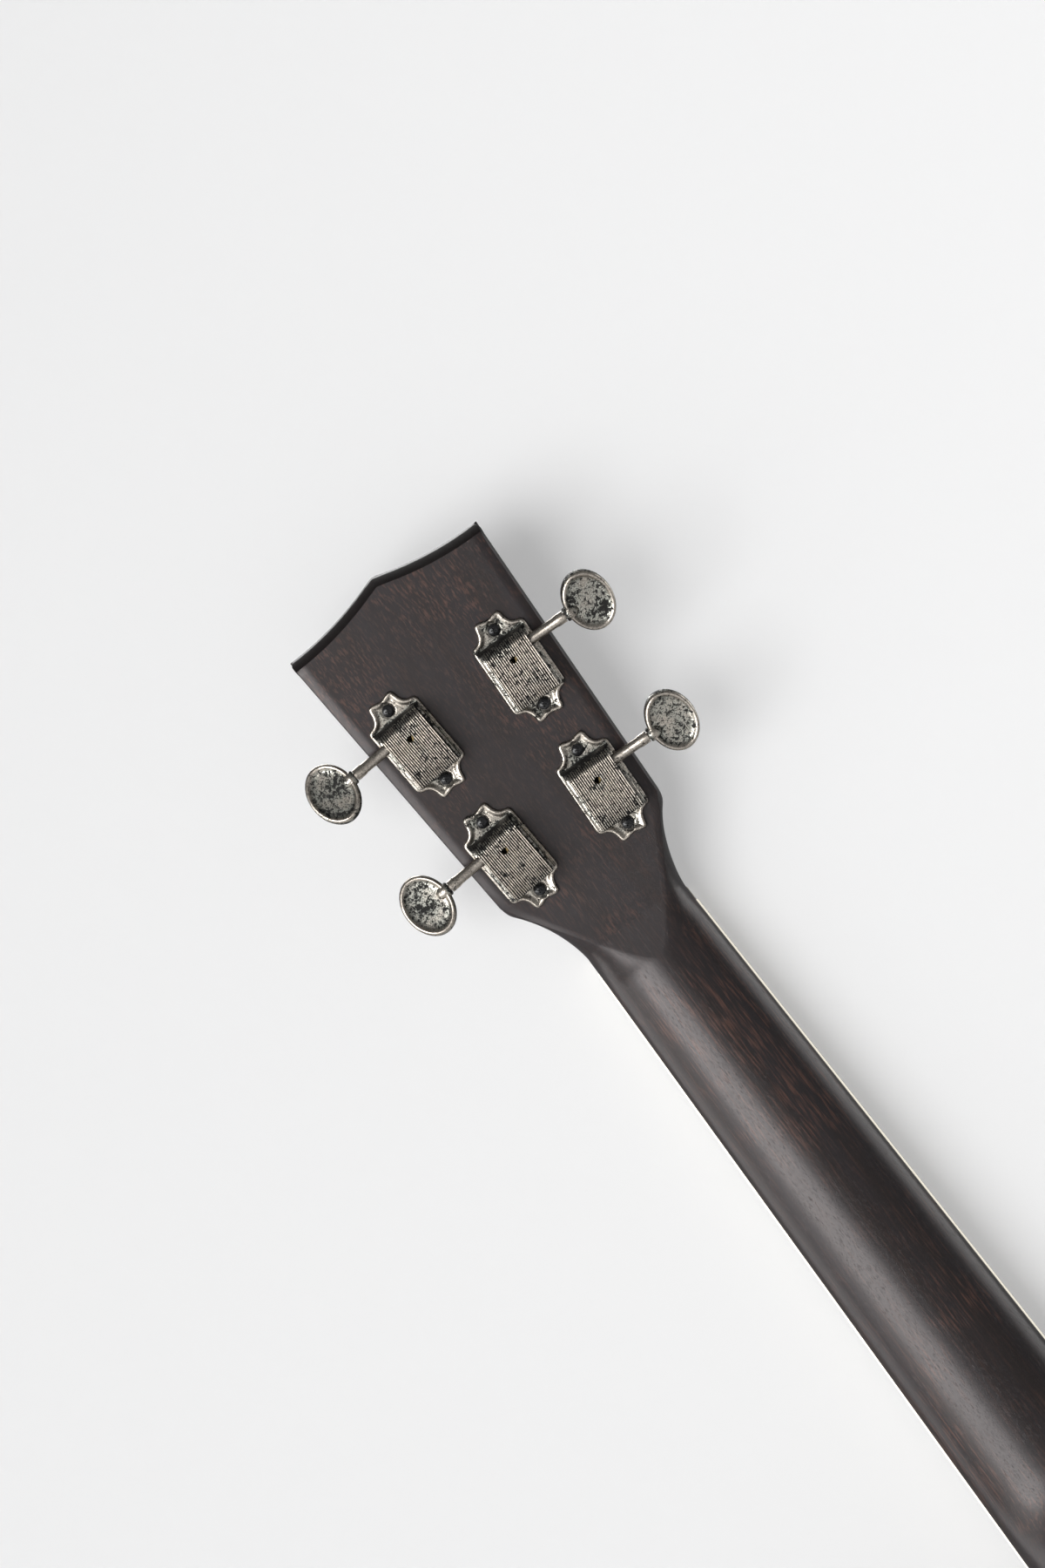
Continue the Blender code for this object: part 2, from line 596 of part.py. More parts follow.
def build_neck():
    neck = add_part("neck", loft("neck", shaft_rings() + head_rings()), "dark_mahogany", hung_upright)
    far = HEAD_TIP_AT + 4 * TIP_POINT_RISE
    wide = HEAD_TIP_HALF_WIDTH + 4 * TIP_POINT_RISE
    near = HEAD_TIP_AT - CUT_PAST
    outline = [(-wide, far), (-wide, near)] + tip_curve() + [(wide, near), (wide, far)]
    add_boolean(neck, "tip_shape", slab("tip_shape", [outline], -2 * HEAD_THICKNESS, HEAD_THICKNESS),
                "DIFFERENCE", parent=head_back)
    holes = []
    for side, place in tuner_places().values():
        post = place @ Vector((0, POST_AT, 0))
        holes.append(((post.x, post.y, -2 * HEAD_THICKNESS), (post.x, post.y, HEAD_THICKNESS), HEAD_BORE_RADIUS))
    add_boolean(neck, "post_holes", rods("post_holes", holes, 10), "DIFFERENCE", parent=head_back)
    pilots = []
    for side, place in tuner_places().values():
        for end in (-1, 1):
            spot = place @ Vector((0, end * PLATE_SCREW_REACH, 0))
            bottom = PLATE_TOP + GAP - SCREW_SHANK_LENGTH - GAP
            pilots.append(((spot.x, spot.y, bottom), (spot.x, spot.y, CUT_PAST), SCREW_SHANK_RADIUS + GAP))
    add_boolean(neck, "screw_pilots", rods("screw_pilots", pilots, 6), "DIFFERENCE", parent=head_back)
    smooth_round(neck)


def build_headplate():
    side = head_side()[0]
    right = [(half_width, distance) for distance, half_width in side]
    left = [(-x, y) for x, y in right[::-1]]
    outline = right[:-1] + tip_curve()[::-1] + left[1:]
    bores = []
    for _, place in tuner_places().values():
        post = place @ Vector((0, POST_AT, 0))
        bores.append(circle(post.x, post.y, HEAD_BORE_RADIUS, 10))
    plate = slab("headplate", [outline] + bores, -HEADPLATE_FRONT, -HEADPLATE_BACK)
    add_part("headplate", plate, "ebonised_board", head_back)


def build_fingerboard():
    nut_half = NUT_WIDTH / 2
    end_half = neck_half_width(-BOARD_LENGTH)
    inset = BINDING_WIDTH + GAP
    wood = [(-nut_half + inset, 0), (nut_half - inset, 0),
            (end_half - inset, -BOARD_LENGTH + inset), (-end_half + inset, -BOARD_LENGTH + inset)]
    board = add_part("fingerboard", slab("fingerboard", [wood], GAP, BOARD_TOP), "ebonised_board", hung_upright)
    bars = []
    for number in range(1, FRET_COUNT + 1):
        y = -SCALE_LENGTH * (1 - 2 ** (-number / 12))
        half = neck_half_width(y) - inset - GAP
        ends = []
        for x in (-half, half):
            ends.append([(x, y + dy, BOARD_TOP + dz) for dy, dz in (
                (-FRET_WIDTH / 2, -GAP), (FRET_WIDTH / 2, -GAP), (FRET_WIDTH / 2, 0.3 * FRET_HEIGHT),
                (0, FRET_HEIGHT), (-FRET_WIDTH / 2, 0.3 * FRET_HEIGHT))])
        bars.append(ends)
    shape = bmesh.new()
    for ends in bars:
        left, right = [[shape.verts.new(point) for point in end] for end in ends]
        for i in range(5):
            j = (i + 1) % 5
            shape.faces.new((left[i], left[j], right[j], right[i]))
        shape.faces.new(left)
        shape.faces.new(right)
    add_boolean(board, "frets", finished_mesh("frets", shape), "UNION")
    strip_outline = [(-nut_half, 0), (-end_half, -BOARD_LENGTH), (end_half, -BOARD_LENGTH), (nut_half, 0),
                     (nut_half - BINDING_WIDTH, 0), (end_half - BINDING_WIDTH, -BOARD_LENGTH + BINDING_WIDTH),
                     (-end_half + BINDING_WIDTH, -BOARD_LENGTH + BINDING_WIDTH), (-nut_half + BINDING_WIDTH, 0)]
    binding = slab("fingerboard_binding", [strip_outline], GAP, BOARD_TOP)
    add_part("fingerboard_binding", binding, "cream_binding", hung_upright)


def string_x(index, spacing):
    return (index - (len(STRING_ORDER) - 1) / 2) * spacing


def notched_outline(half_width, top, spacing, seat_height):
    """The front view of a nut or saddle, from its foot at 0 to its top, with a notch for each string."""
    notch = max(STRING_RADII.values()) + GAP
    outline = [(-half_width, 0), (half_width, 0), (half_width, top)]
    for index in reversed(range(len(STRING_ORDER))):
        x = string_x(index, spacing)
        floor = seat_height - notch
        outline += [(x + notch, top), (x + 0.6 * notch, floor), (x - 0.6 * notch, floor), (x - notch, top)]
    return outline + [(-half_width, top)]


def build_nut():
    outline = notched_outline(NUT_WIDTH / 2, NUT_HEIGHT - GAP, STRING_SPACING_NUT, STRING_HEIGHT_NUT - GAP)
    nut = slab("nut", [outline], -NUT_LENGTH - GAP, -GAP)
    add_part("nut", nut, "bone", hung_upright, Matrix.Translation((0, 0, GAP)) @ ACROSS_THE_NECK)


# Tuning machines

def plate_outline():
    """Straight sides, and at each end a scoop from corner to lobe and a dip between the two lobes."""
    end = PLATE_HALF_LENGTH
    dip = (0, end - PLATE_DIP)
    crown = (PLATE_LOBE_REACH, end)
    scoop = (PLATE_SCOOP_REACH, end - PLATE_SCOOP_DEPTH)
    corner = (PLATE_HALF_WIDTH, PLATE_STRAIGHT)
    scoop_floor = end - 1.28 * PLATE_SCOOP_DEPTH
    quarter = bezier(dip, (0.44 * crown[0], dip[1]), (0.63 * crown[0], end), crown, 2)
    quarter += bezier(crown, (0.97 * scoop[0], end), (0.85 * scoop[0], end - 0.78 * PLATE_SCOOP_DEPTH), scoop, 2)
    quarter += bezier(scoop, (1.16 * scoop[0], scoop_floor), (PLATE_HALF_WIDTH, scoop_floor), corner, 3)
    quarter.append(corner)
    half = quarter + [(x, -y) for x, y in quarter[::-1]]
    return half + [(-x, y) for x, y in half[-2:0:-1]]


def build_plate(string, frame):
    shape = slab("plate", [plate_outline()], GAP, PLATE_TOP)
    plate = add_part(f"tuner_plate_{string}", shape, "aged_nickel", frame)
    lug_outer = COVER_SIDE_HALF_WIDTH - COVER_WALL - GAP
    lug_top = WORM_HEIGHT + SHAFT_RADIUS + LUG_ABOVE_SHAFT
    tabs = [((side * lug_outer - (side + 1) / 2 * LUG_THICKNESS, WORM_AT - LUG_WIDTH / 2, PLATE_TOP - GAP),
             (side * lug_outer - (side - 1) / 2 * LUG_THICKNESS, WORM_AT + LUG_WIDTH / 2, lug_top))
            for side in (-1, 1)]
    add_boolean(plate, f"lugs_{string}", boxes("lugs", tabs), "UNION")
    reach = PLATE_HALF_WIDTH
    drills = [((-reach, WORM_AT, WORM_HEIGHT), (reach, WORM_AT, WORM_HEIGHT), SHAFT_RADIUS + GAP),
              ((0, POST_AT, -CUT_PAST), (0, POST_AT, PLATE_TOP + CUT_PAST), POST_BORE_RADIUS)]
    for end in (-1, 1):
        y = end * PLATE_SCREW_REACH
        drills.append(((0, y, -CUT_PAST), (0, y, PLATE_TOP + CUT_PAST), SCREW_SHANK_RADIUS + GAP))
    add_boolean(plate, f"plate_holes_{string}", rods("plate_holes", drills, 8), "DIFFERENCE")


def build_cover(string, side, frame):
    """A stamped cover: ribbed top, stepped sides with a small foot, and a notch where the shaft comes out."""
    foot = PLATE_TOP + GAP
    top = COVER_HEIGHT
    left = [(-PLATE_HALF_WIDTH + GAP, foot), (-PLATE_HALF_WIDTH + GAP, foot + COVER_WALL),
            (-COVER_SIDE_HALF_WIDTH, foot + 1.5 * COVER_WALL), (-COVER_SIDE_HALF_WIDTH, top - COVER_SHOULDER),
            (-COVER_TOP_HALF_WIDTH, top - COVER_SHOULDER / 2)]
    pitch = 2 * COVER_TOP_HALF_WIDTH / RIB_COUNT
    ribs = []
    for i in range(RIB_COUNT):
        x = -COVER_TOP_HALF_WIDTH + i * pitch
        ribs += [(x + 0.15 * pitch, top - RIB_DEPTH), (x + 0.6 * pitch, top)]
    right = [(-x, z) for x, z in left[::-1]]
    outline = left + ribs + right
    shell = slab("cover", [outline], -COVER_TIP_END, COVER_BODY_END)
    cover = add_part(f"tuner_cover_{string}", shell, "aged_nickel", frame, ACROSS_THE_NECK)
    beyond = COVER_TIP_END + COVER_WALL
    over = top + COVER_WALL
    end = cover_end(COVER_END_ROUND, top)
    trim = end + [(end[-1][0], over), (beyond, over), (beyond, end[0][1])]
    add_boolean(cover, f"cover_end_{string}", slab("cover_end", [trim], -PLATE_HALF_WIDTH, PLATE_HALF_WIDTH),
                "DIFFERENCE", ALONG_THE_NECK)
    inner = COVER_SIDE_HALF_WIDTH - COVER_WALL
    ceiling = top - COVER_WALL - RIB_DEPTH
    back = -COVER_BODY_END + COVER_WALL
    room = [(back, 0), (COVER_TIP_END - COVER_WALL, 0)]
    room += cover_end(COVER_END_ROUND - COVER_WALL, ceiling) + [(back, ceiling)]
    add_boolean(cover, f"cover_hollow_{string}", slab("cover_hollow", [room], -inner, inner), "DIFFERENCE",
                ALONG_THE_NECK)
    half = SHAFT_RADIUS + GAP
    notch = [(WORM_AT - half, 0), (WORM_AT + half, 0)]
    notch += arc((WORM_AT + half, WORM_HEIGHT), (WORM_AT - half, WORM_HEIGHT), -half, 4)
    low, high = sorted((side * (inner - GAP), side * 2 * PLATE_HALF_WIDTH))
    add_boolean(cover, f"shaft_notch_{string}", slab("shaft_notch", [notch], low, high), "DIFFERENCE",
                ALONG_THE_NECK)
    drill = ((0, OIL_HOLE_AT, ceiling - CUT_PAST), (0, OIL_HOLE_AT, top + CUT_PAST), OIL_HOLE_RADIUS)
    oil = rods("oil_hole", [drill], 8)
    add_boolean(cover, f"oil_hole_{string}", oil, "DIFFERENCE")


def cover_end(radius, top):
    """The round at the cover's tip end, from its start on the end wall up to a height."""
    middle_y = COVER_TIP_END - COVER_END_ROUND
    middle_z = COVER_HEIGHT - COVER_END_ROUND
    sweep = math.asin(min((top - middle_z) / radius, 1))
    angles = [sweep * i / 4 for i in range(5)]
    return [(middle_y + radius * math.cos(a), middle_z + radius * math.sin(a)) for a in angles]


def thread_rings():
    """A right-handed ridge along X, with a crest on the line that faces the worm wheel at X = 0."""
    steps = 8 * WORM_TURNS
    rings = []
    for i in range(steps + 1):
        angle = math.pi + 2 * math.pi * WORM_TURNS * (i / steps - 0.5)
        x = WORM_LEAD * (angle - math.pi) / (2 * math.pi)
        outward = Vector((0, math.cos(angle), math.sin(angle)))
        crest = WORM_TIP_RADIUS if 0 < i < steps else WORM_CORE_RADIUS
        root = WORM_CORE_RADIUS - GAP
        rings.append([Vector((x + dx, 0, 0)) + outward * radius for dx, radius in (
            (-0.28 * WORM_LEAD, root), (-0.10 * WORM_LEAD, crest),
            (0.10 * WORM_LEAD, crest), (0.28 * WORM_LEAD, root))])
    return rings


def build_worm(string, side, frame):
    inner_end = -(COVER_SIDE_HALF_WIDTH - COVER_WALL - GAP)
    worm_end = -inner_end - LUG_THICKNESS - GAP
    shoulder = BUTTON_REACH - BUTTON_HALF_WIDTH - BUTTON_BOSS_LENGTH
    profile = [(0, shoulder + BUTTON_STUB_DEPTH), (SHAFT_STUB_RADIUS, shoulder + BUTTON_STUB_DEPTH),
               (SHAFT_STUB_RADIUS, shoulder), (SHAFT_RADIUS, shoulder), (SHAFT_RADIUS, worm_end),
               (WORM_CORE_RADIUS, worm_end - WORM_RUNOUT), (WORM_CORE_RADIUS, -worm_end + WORM_RUNOUT),
               (SHAFT_RADIUS, -worm_end), (SHAFT_RADIUS, inner_end), (0, inner_end)]
    if side < 0:
        profile = [(radius, -x) for radius, x in profile[::-1]]
    shaft = turned(f"worm_shaft_{string}", profile, 8, "worm_steel", frame,
                   Matrix.Translation((0, WORM_AT, WORM_HEIGHT)), axis="X")
    add_boolean(shaft, f"worm_thread_{string}", loft("worm_thread", thread_rings()), "UNION",
                Matrix.Translation((0, WORM_AT, WORM_HEIGHT)))


def build_button(string, side, turn, frame):
    """An oval metal button, dished on both faces, on a boss that takes the shaft's end."""
    rim = BUTTON_RIM_HALF_THICKNESS
    web = BUTTON_WEB_HALF_THICKNESS
    profile = [(0.70, web), (0.87, rim), (1.0, 0.42 * rim)]
    profile += [(share, -z) for share, z in profile[::-1]]
    rings = [[(side * BUTTON_REACH + x * share, y * share, z) for x, y in oval_points()] for share, z in profile]
    place = Matrix.Translation((0, WORM_AT, WORM_HEIGHT)) @ Matrix.Rotation(turn, 4, "X")
    button = add_part(f"tuner_button_{string}", loft("button", rings), "aged_nickel", frame, place)
    boss_start = BUTTON_REACH - BUTTON_HALF_WIDTH - BUTTON_BOSS_LENGTH + GAP
    boss_end = BUTTON_REACH - 0.55 * BUTTON_HALF_WIDTH
    boss = rods("button_boss", [((side * boss_start, 0, 0), (side * boss_end, 0, 0), BUTTON_BOSS_RADIUS)], 10)
    add_boolean(button, f"button_boss_{string}", boss, "UNION", place)
    bore = rods("button_bore", [((side * (boss_start - CUT_PAST), 0, 0),
                                 (side * (boss_start + BUTTON_STUB_DEPTH), 0, 0), SHAFT_STUB_RADIUS + GAP)], 8)
    add_boolean(button, f"button_bore_{string}", bore, "DIFFERENCE", place)


def oval_points():
    steps = 18
    angles = [2 * math.pi * i / steps for i in range(steps)]
    return [(BUTTON_HALF_WIDTH * math.cos(a), BUTTON_HALF_LENGTH * math.sin(a)) for a in angles]


def build_wheel(string, frame):
    """A worm wheel whose teeth lean with the worm's thread, bored for the post."""
    root = WHEEL_PITCH_RADIUS - WHEEL_TOOTH_DROP
    tip = WHEEL_PITCH_RADIUS + WHEEL_TOOTH_REACH
    lean = WORM_LEAD * WHEEL_THICKNESS / 2 / (2 * math.pi * WORM_PITCH_RADIUS * WHEEL_PITCH_RADIUS)
    rings = []
    for end in (-1, 1):
        ring = []
        for tooth in range(WHEEL_TEETH):
            middle = math.pi / 2 + 2 * math.pi * (tooth + 0.5) / WHEEL_TEETH + end * lean
            for radius, half in ((root, -WHEEL_ROOT_HALF_WIDTH), (tip, -WHEEL_CREST_HALF_WIDTH),
                                 (tip, WHEEL_CREST_HALF_WIDTH), (root, WHEEL_ROOT_HALF_WIDTH)):
                angle = middle + half / radius
                ring.append((radius * math.cos(angle), radius * math.sin(angle), end * WHEEL_THICKNESS / 2))
        rings.append(ring)
    place = Matrix.Translation((0, POST_AT, WORM_HEIGHT))
    wheel = add_part(f"worm_wheel_{string}", loft("worm_wheel", rings), "brass", frame, place)
    bore = rods("wheel_bore", [((0, 0, -WHEEL_THICKNESS), (0, 0, WHEEL_THICKNESS), wheel_bore_radius())], 10)
    add_boolean(wheel, f"wheel_bore_{string}", bore, "DIFFERENCE", place)


def wheel_bore_radius():
    return POST_RADIUS - WHEEL_SEAT_STEP


def build_post(string, frame):
    """The string post: rivet head, wheel seat, flange on the plate, journal, and waist for the string."""
    seat = wheel_bore_radius() - GAP
    wheel_low = WORM_HEIGHT - WHEEL_THICKNESS / 2 - GAP
    wheel_high = WORM_HEIGHT + WHEEL_THICKNESS / 2 + GAP
    end = -(HEADPLATE_FRONT + POST_RISE)
    rivet = seat + POST_RIVET_MARGIN
    flange = POST_RADIUS + POST_FLANGE_MARGIN
    profile = [(0, wheel_high + POST_RIVET_RISE), (rivet, wheel_high + POST_RIVET_RISE), (rivet, wheel_high),
               (seat, wheel_high), (seat, wheel_low), (flange, wheel_low), (flange, PLATE_TOP + GAP),
               (POST_RADIUS, PLATE_TOP + GAP), (POST_RADIUS, end + POST_WAIST_END),
               (POST_WAIST_RADIUS, end + POST_WAIST_END - POST_CHAMFER),
               (POST_WAIST_RADIUS, end + POST_WAIST_START + POST_CHAMFER),
               (POST_RADIUS, end + POST_WAIST_START),
               (POST_RADIUS, end + POST_CHAMFER), (POST_RADIUS - POST_CHAMFER, end), (0, end)]
    place = Matrix.Translation((0, POST_AT, 0))
    post = turned(f"string_post_{string}", profile, 8, "aged_nickel", frame, place)
    hole_z = end + STRING_HOLE_AT
    through = 2 * POST_RADIUS
    drill = ((-through, POST_AT, hole_z), (through, POST_AT, hole_z), STRING_HOLE_RADIUS)
    hole = rods("string_hole", [drill], 6)
    add_boolean(post, f"string_hole_{string}", hole, "DIFFERENCE")


def build_ferrule(string, frame):
    front = -(HEADPLATE_FRONT + GAP)
    profile = [(FERRULE_BARREL_RADIUS, front + FERRULE_DEPTH), (FERRULE_BARREL_RADIUS, front),
               (FERRULE_FLANGE_RADIUS, front), (FERRULE_FLANGE_RADIUS, front - 0.6 * FERRULE_FLANGE),
               (FERRULE_FLANGE_RADIUS - 0.6 * FERRULE_FLANGE, front - FERRULE_FLANGE),
               (POST_BORE_RADIUS, front - FERRULE_FLANGE),
               (POST_BORE_RADIUS, front + FERRULE_DEPTH)]
    turned(f"post_ferrule_{string}", profile, 10, "aged_nickel", frame, Matrix.Translation((0, POST_AT, 0)),
           ring=True)


def build_plate_screws(string, frame):
    seat = PLATE_TOP + GAP
    profile = [(0, seat + SCREW_HEAD_HEIGHT), (0.6 * SCREW_HEAD_RADIUS, seat + 0.85 * SCREW_HEAD_HEIGHT),
               (SCREW_HEAD_RADIUS, seat + 0.35 * SCREW_HEAD_HEIGHT), (SCREW_HEAD_RADIUS, seat),
               (SCREW_SHANK_RADIUS, seat), (SCREW_SHANK_RADIUS, seat - 0.75 * SCREW_SHANK_LENGTH),
               (0, seat - SCREW_SHANK_LENGTH)]
    for end, place in ((1, "upper"), (-1, "lower")):
        turned(f"plate_screw_{string}_{place}", profile, 8, "black_steel", frame,
               Matrix.Translation((0, end * PLATE_SCREW_REACH, 0)))


def build_tuners():
    rest_turns = {"g": 8, "c": 14, "e": -20, "a": -12}
    for string, (side, place) in tuner_places().items():
        frame = add_empty(f"tuner_frame_{string}", head_back, place)
        build_plate(string, frame)
        build_cover(string, side, frame)
        build_worm(string, side, frame)
        build_button(string, side, math.radians(rest_turns[string]), frame)
        build_wheel(string, frame)
        build_post(string, frame)
        build_ferrule(string, frame)
        build_plate_screws(string, frame)


# Body

def body_outline():
    """The body's edge, anticlockwise from the right end of the heel flat, round the tail, to the left end."""
    def place(x, distance):
        return (x, -BODY_JOIN - distance)
    upper, waist, lower = UPPER_BOUT / 2, WAIST / 2, LOWER_BOUT / 2
    right = bezier(place(HEEL_FLAT, 0), place(0.8 * upper, 0), place(upper, 0.42 * UPPER_BOUT_AT),
                   place(upper, UPPER_BOUT_AT), 6)
    right += bezier(place(upper, UPPER_BOUT_AT), place(upper, 0.60 * UPPER_BOUT_AT + 0.40 * WAIST_AT),
                    place(waist, 0.40 * UPPER_BOUT_AT + 0.60 * WAIST_AT), place(waist, WAIST_AT), 5)
    right += bezier(place(waist, WAIST_AT), place(waist, 0.62 * WAIST_AT + 0.38 * LOWER_BOUT_AT),
                    place(lower, 0.52 * WAIST_AT + 0.48 * LOWER_BOUT_AT), place(lower, LOWER_BOUT_AT), 7)
    right += bezier(place(lower, LOWER_BOUT_AT), place(lower, 0.42 * LOWER_BOUT_AT + 0.58 * BODY_LENGTH),
                    place(0.58 * lower, BODY_LENGTH), place(0, BODY_LENGTH), 10)
    left = [(-x, y) for x, y in right[::-1]]
    return [(-x, y) for x, y in right + [place(0, BODY_LENGTH)] + left]


def inset(outline, distances):
    """The outline moved inward by a distance at each point."""
    moved = []
    for i, (x, y) in enumerate(outline):
        before, after = outline[i - 1], outline[(i + 1) % len(outline)]
        along = Vector((after[0] - before[0], after[1] - before[1])).normalized()
        moved.append((x - along.y * distances[i], y + along.x * distances[i]))
    return moved


def build_sides():
    """The bent sides with a lining along each edge, cut away where the two blocks sit."""
    outline = body_outline()
    wall = inset(outline, [SIDES_WALL] * len(outline))
    lined = []
    for x, y in outline:
        at_neck = y > -BODY_JOIN - UPPER_BOUT_AT and abs(x) < NECK_BLOCK_HALF_WIDTH + LINING_WIDTH
        at_tail = y < -TAIL_AT + UPPER_BOUT_AT and abs(x) < TAIL_BLOCK_HALF_WIDTH + LINING_WIDTH
        lined.append(SIDES_WALL if at_neck or at_tail else LINING_WIDTH)
    lining = inset(outline, lined)
    rings = []
    for outer, middle, inner in zip(outline, wall, lining):
        low, high = SIDES_BOTTOM, SIDES_TOP
        rings.append([(*outer, low), (*outer, high), (*inner, high), (*inner, high - 0.6 * LINING_DEPTH),
                      (*middle, high - LINING_DEPTH), (*middle, low + LINING_DEPTH),
                      (*inner, low + 0.6 * LINING_DEPTH), (*inner, low)])
    sides = add_part("sides", loft("sides", rings, closed=True), "dark_mahogany", hung_upright)
    hole = rods("strap_hole", [((0, -TAIL_AT - 0.01, strap_height()), (0, -TAIL_AT + 0.01, strap_height()),
                                STRAP_SHANK_RADIUS + GAP)], 10)
    add_boolean(sides, "strap_hole", hole, "DIFFERENCE")
    smooth_round(sides)


def strap_height():
    return -STRAP_BUTTON_DROP


def build_plates():
    outline = body_outline()
    holes = [circle(0, -SCALE_LENGTH, WELL_OUTER_RADIUS - WELL_SEAT_WIDTH, CONE_STEPS)]
    for side in (-1, 1):
        holes.append(circle(side * SOUNDHOLE_REACH, -SOUNDHOLE_AT, SOUNDHOLE_RADIUS, 16))
    add_part("top", slab("top", [outline] + holes, -TOP_THICKNESS, 0), "dark_mahogany", hung_upright)
    back_face = SIDES_BOTTOM - GAP
    add_part("back", slab("back", [outline], back_face - BACK_THICKNESS, back_face), "dark_mahogany", hung_upright)


def build_blocks():
    low, high = SIDES_BOTTOM, SIDES_TOP
    near = -(BODY_JOIN + SIDES_WALL + GAP)
    block = boxes("neck_block", [((-NECK_BLOCK_HALF_WIDTH, near - NECK_BLOCK_LENGTH, low),
                                  (NECK_BLOCK_HALF_WIDTH, near, high))])
    add_part("neck_block", block, "pale_wood", hung_upright)
    outline = body_outline()
    fitted = inset(outline, [SIDES_WALL + GAP] * len(outline))
    arc_points = [(x, y) for x, y in fitted if abs(x) < TAIL_BLOCK_HALF_WIDTH and y < -TAIL_AT + UPPER_BOUT_AT]
    inner = -TAIL_BLOCK_END
    edge = arc_points[0][0]
    shape = arc_points + [(-edge, inner), (edge, inner)]
    tail = add_part("tail_block", slab("tail_block", [shape], low, high), "pale_wood", hung_upright)
    hole = rods("tail_block_hole", [((0, -TAIL_AT - 0.01, strap_height()), (0, inner + 0.01, strap_height()),
                                     STRAP_SHANK_RADIUS + GAP)], 10)
    add_boolean(tail, "tail_block_hole", hole, "DIFFERENCE")


def build_screens():
    """Each upper soundhole: a flanged ring with a pierced face."""
    outer = SOUNDHOLE_RADIUS + SCREEN_FLANGE
    barrel = SOUNDHOLE_RADIUS - GAP
    inner = barrel - SCREEN_WALL
    low = -TOP_THICKNESS - GAP
    face = GAP + SCREEN_THICKNESS
    profile = [(0, face), (outer - SCREEN_WALL, face), (outer, GAP), (barrel, GAP),
               (barrel, low), (inner, low), (inner, GAP), (0, GAP)]
    for side, name in ((-1, "left"), (1, "right")):
        place = Matrix.Translation((side * SOUNDHOLE_REACH, -SOUNDHOLE_AT, 0))
        screen = turned(f"soundhole_screen_{name}", profile, 20, "aged_nickel", hung_upright, place)
        holes = [(0, 0)] + circle(0, 0, 0.66 * inner, SCREEN_HOLES)
        drills = [((x, y, -TOP_THICKNESS), (x, y, TOP_THICKNESS), SCREEN_HOLE_RADIUS) for x, y in holes]
        add_boolean(screen, f"screen_holes_{name}", rods("screen_holes", drills, 5), "DIFFERENCE", place)


# Resonator

def build_soundwell():
    low = -LEDGE_DEPTH - SOUNDWELL_FLOOR
    profile = [(WELL_OUTER_RADIUS, SIDES_TOP), (WELL_OUTER_RADIUS, low), (WELL_INNER_RADIUS - LEDGE_WIDTH, low),
               (WELL_INNER_RADIUS - LEDGE_WIDTH, -LEDGE_DEPTH), (WELL_INNER_RADIUS, -LEDGE_DEPTH),
               (WELL_INNER_RADIUS, SIDES_TOP)]
    turned("soundwell", profile, CONE_STEPS, "pale_wood", cone_centre, ring=True)


def build_cone():
    """A spun cone: flat seat for the biscuit, straight flank with one step, flat rim on the ledge."""
    rim_top = CONE_RIM_BACK + CONE_THICKNESS
    flank_end = CONE_RADIUS - CONE_RIM_WIDTH
    def height(radius):
        share = (radius - CONE_SEAT_RADIUS) / (flank_end - CONE_SEAT_RADIUS)
        return CONE_SEAT - CONE_RISE * (0.9 * share + 0.1 * share ** 3)
    middle = (CONE_SEAT_RADIUS + flank_end) / 2
    front = [(0, CONE_SEAT), (CONE_SEAT_RADIUS, CONE_SEAT), (middle, height(middle)),
             (flank_end, rim_top), (CONE_RADIUS, rim_top)]
    back = [(max(radius - 0.4 * CONE_THICKNESS, 0) if radius < CONE_RADIUS else radius, z - CONE_THICKNESS)
            for radius, z in front[::-1]]
    turned("resonator_cone", front + back, CONE_STEPS, "spun_aluminium", cone_centre)


def build_biscuit_and_saddle():
    low, high = CONE_SEAT + GAP, BISCUIT_TOP
    edge = BISCUIT_RADIUS - BISCUIT_BEVEL
    profile = [(0, high), (edge, high), (BISCUIT_RADIUS, high - BISCUIT_BEVEL), (BISCUIT_RADIUS, low), (0, low)]
    biscuit = turned("biscuit", profile, 20, "maple", cone_centre)
    floor = high - BISCUIT_SLOT_DEPTH
    half = SADDLE_THICKNESS / 2 + GAP
    reach = BISCUIT_RADIUS + CUT_PAST
    slot = boxes("biscuit_slot", [((-reach, -half, floor), (reach, half, high + CUT_PAST))])
    add_boolean(biscuit, "biscuit_slot", slot, "DIFFERENCE")
    foot = floor + GAP
    outline = notched_outline(SADDLE_LENGTH / 2, STRING_HEIGHT_SADDLE + GAP - foot, STRING_SPACING_SADDLE,
                              STRING_HEIGHT_SADDLE - foot)
    saddle = slab("saddle", [outline], -SADDLE_THICKNESS / 2, SADDLE_THICKNESS / 2)
    add_part("saddle", saddle, "maple", cone_centre, Matrix.Translation((0, 0, foot)) @ ACROSS_THE_NECK)


def coverplate_surface():
    """(radius, height) down the coverplate's outer face."""
    slope_end = COVERPLATE_RADIUS - COVERPLATE_RIM
    rim_top = GAP + COVERPLATE_THICKNESS
    bend, drop = COVERPLATE_BEND, COVERPLATE_BEND_DROP
    return [(0, COVERPLATE_RISE), (COVERPLATE_FLAT, COVERPLATE_RISE),
            (COVERPLATE_FLAT + bend, COVERPLATE_RISE - drop),
            (slope_end - bend, rim_top + drop), (slope_end, rim_top), (COVERPLATE_RADIUS, rim_top)]


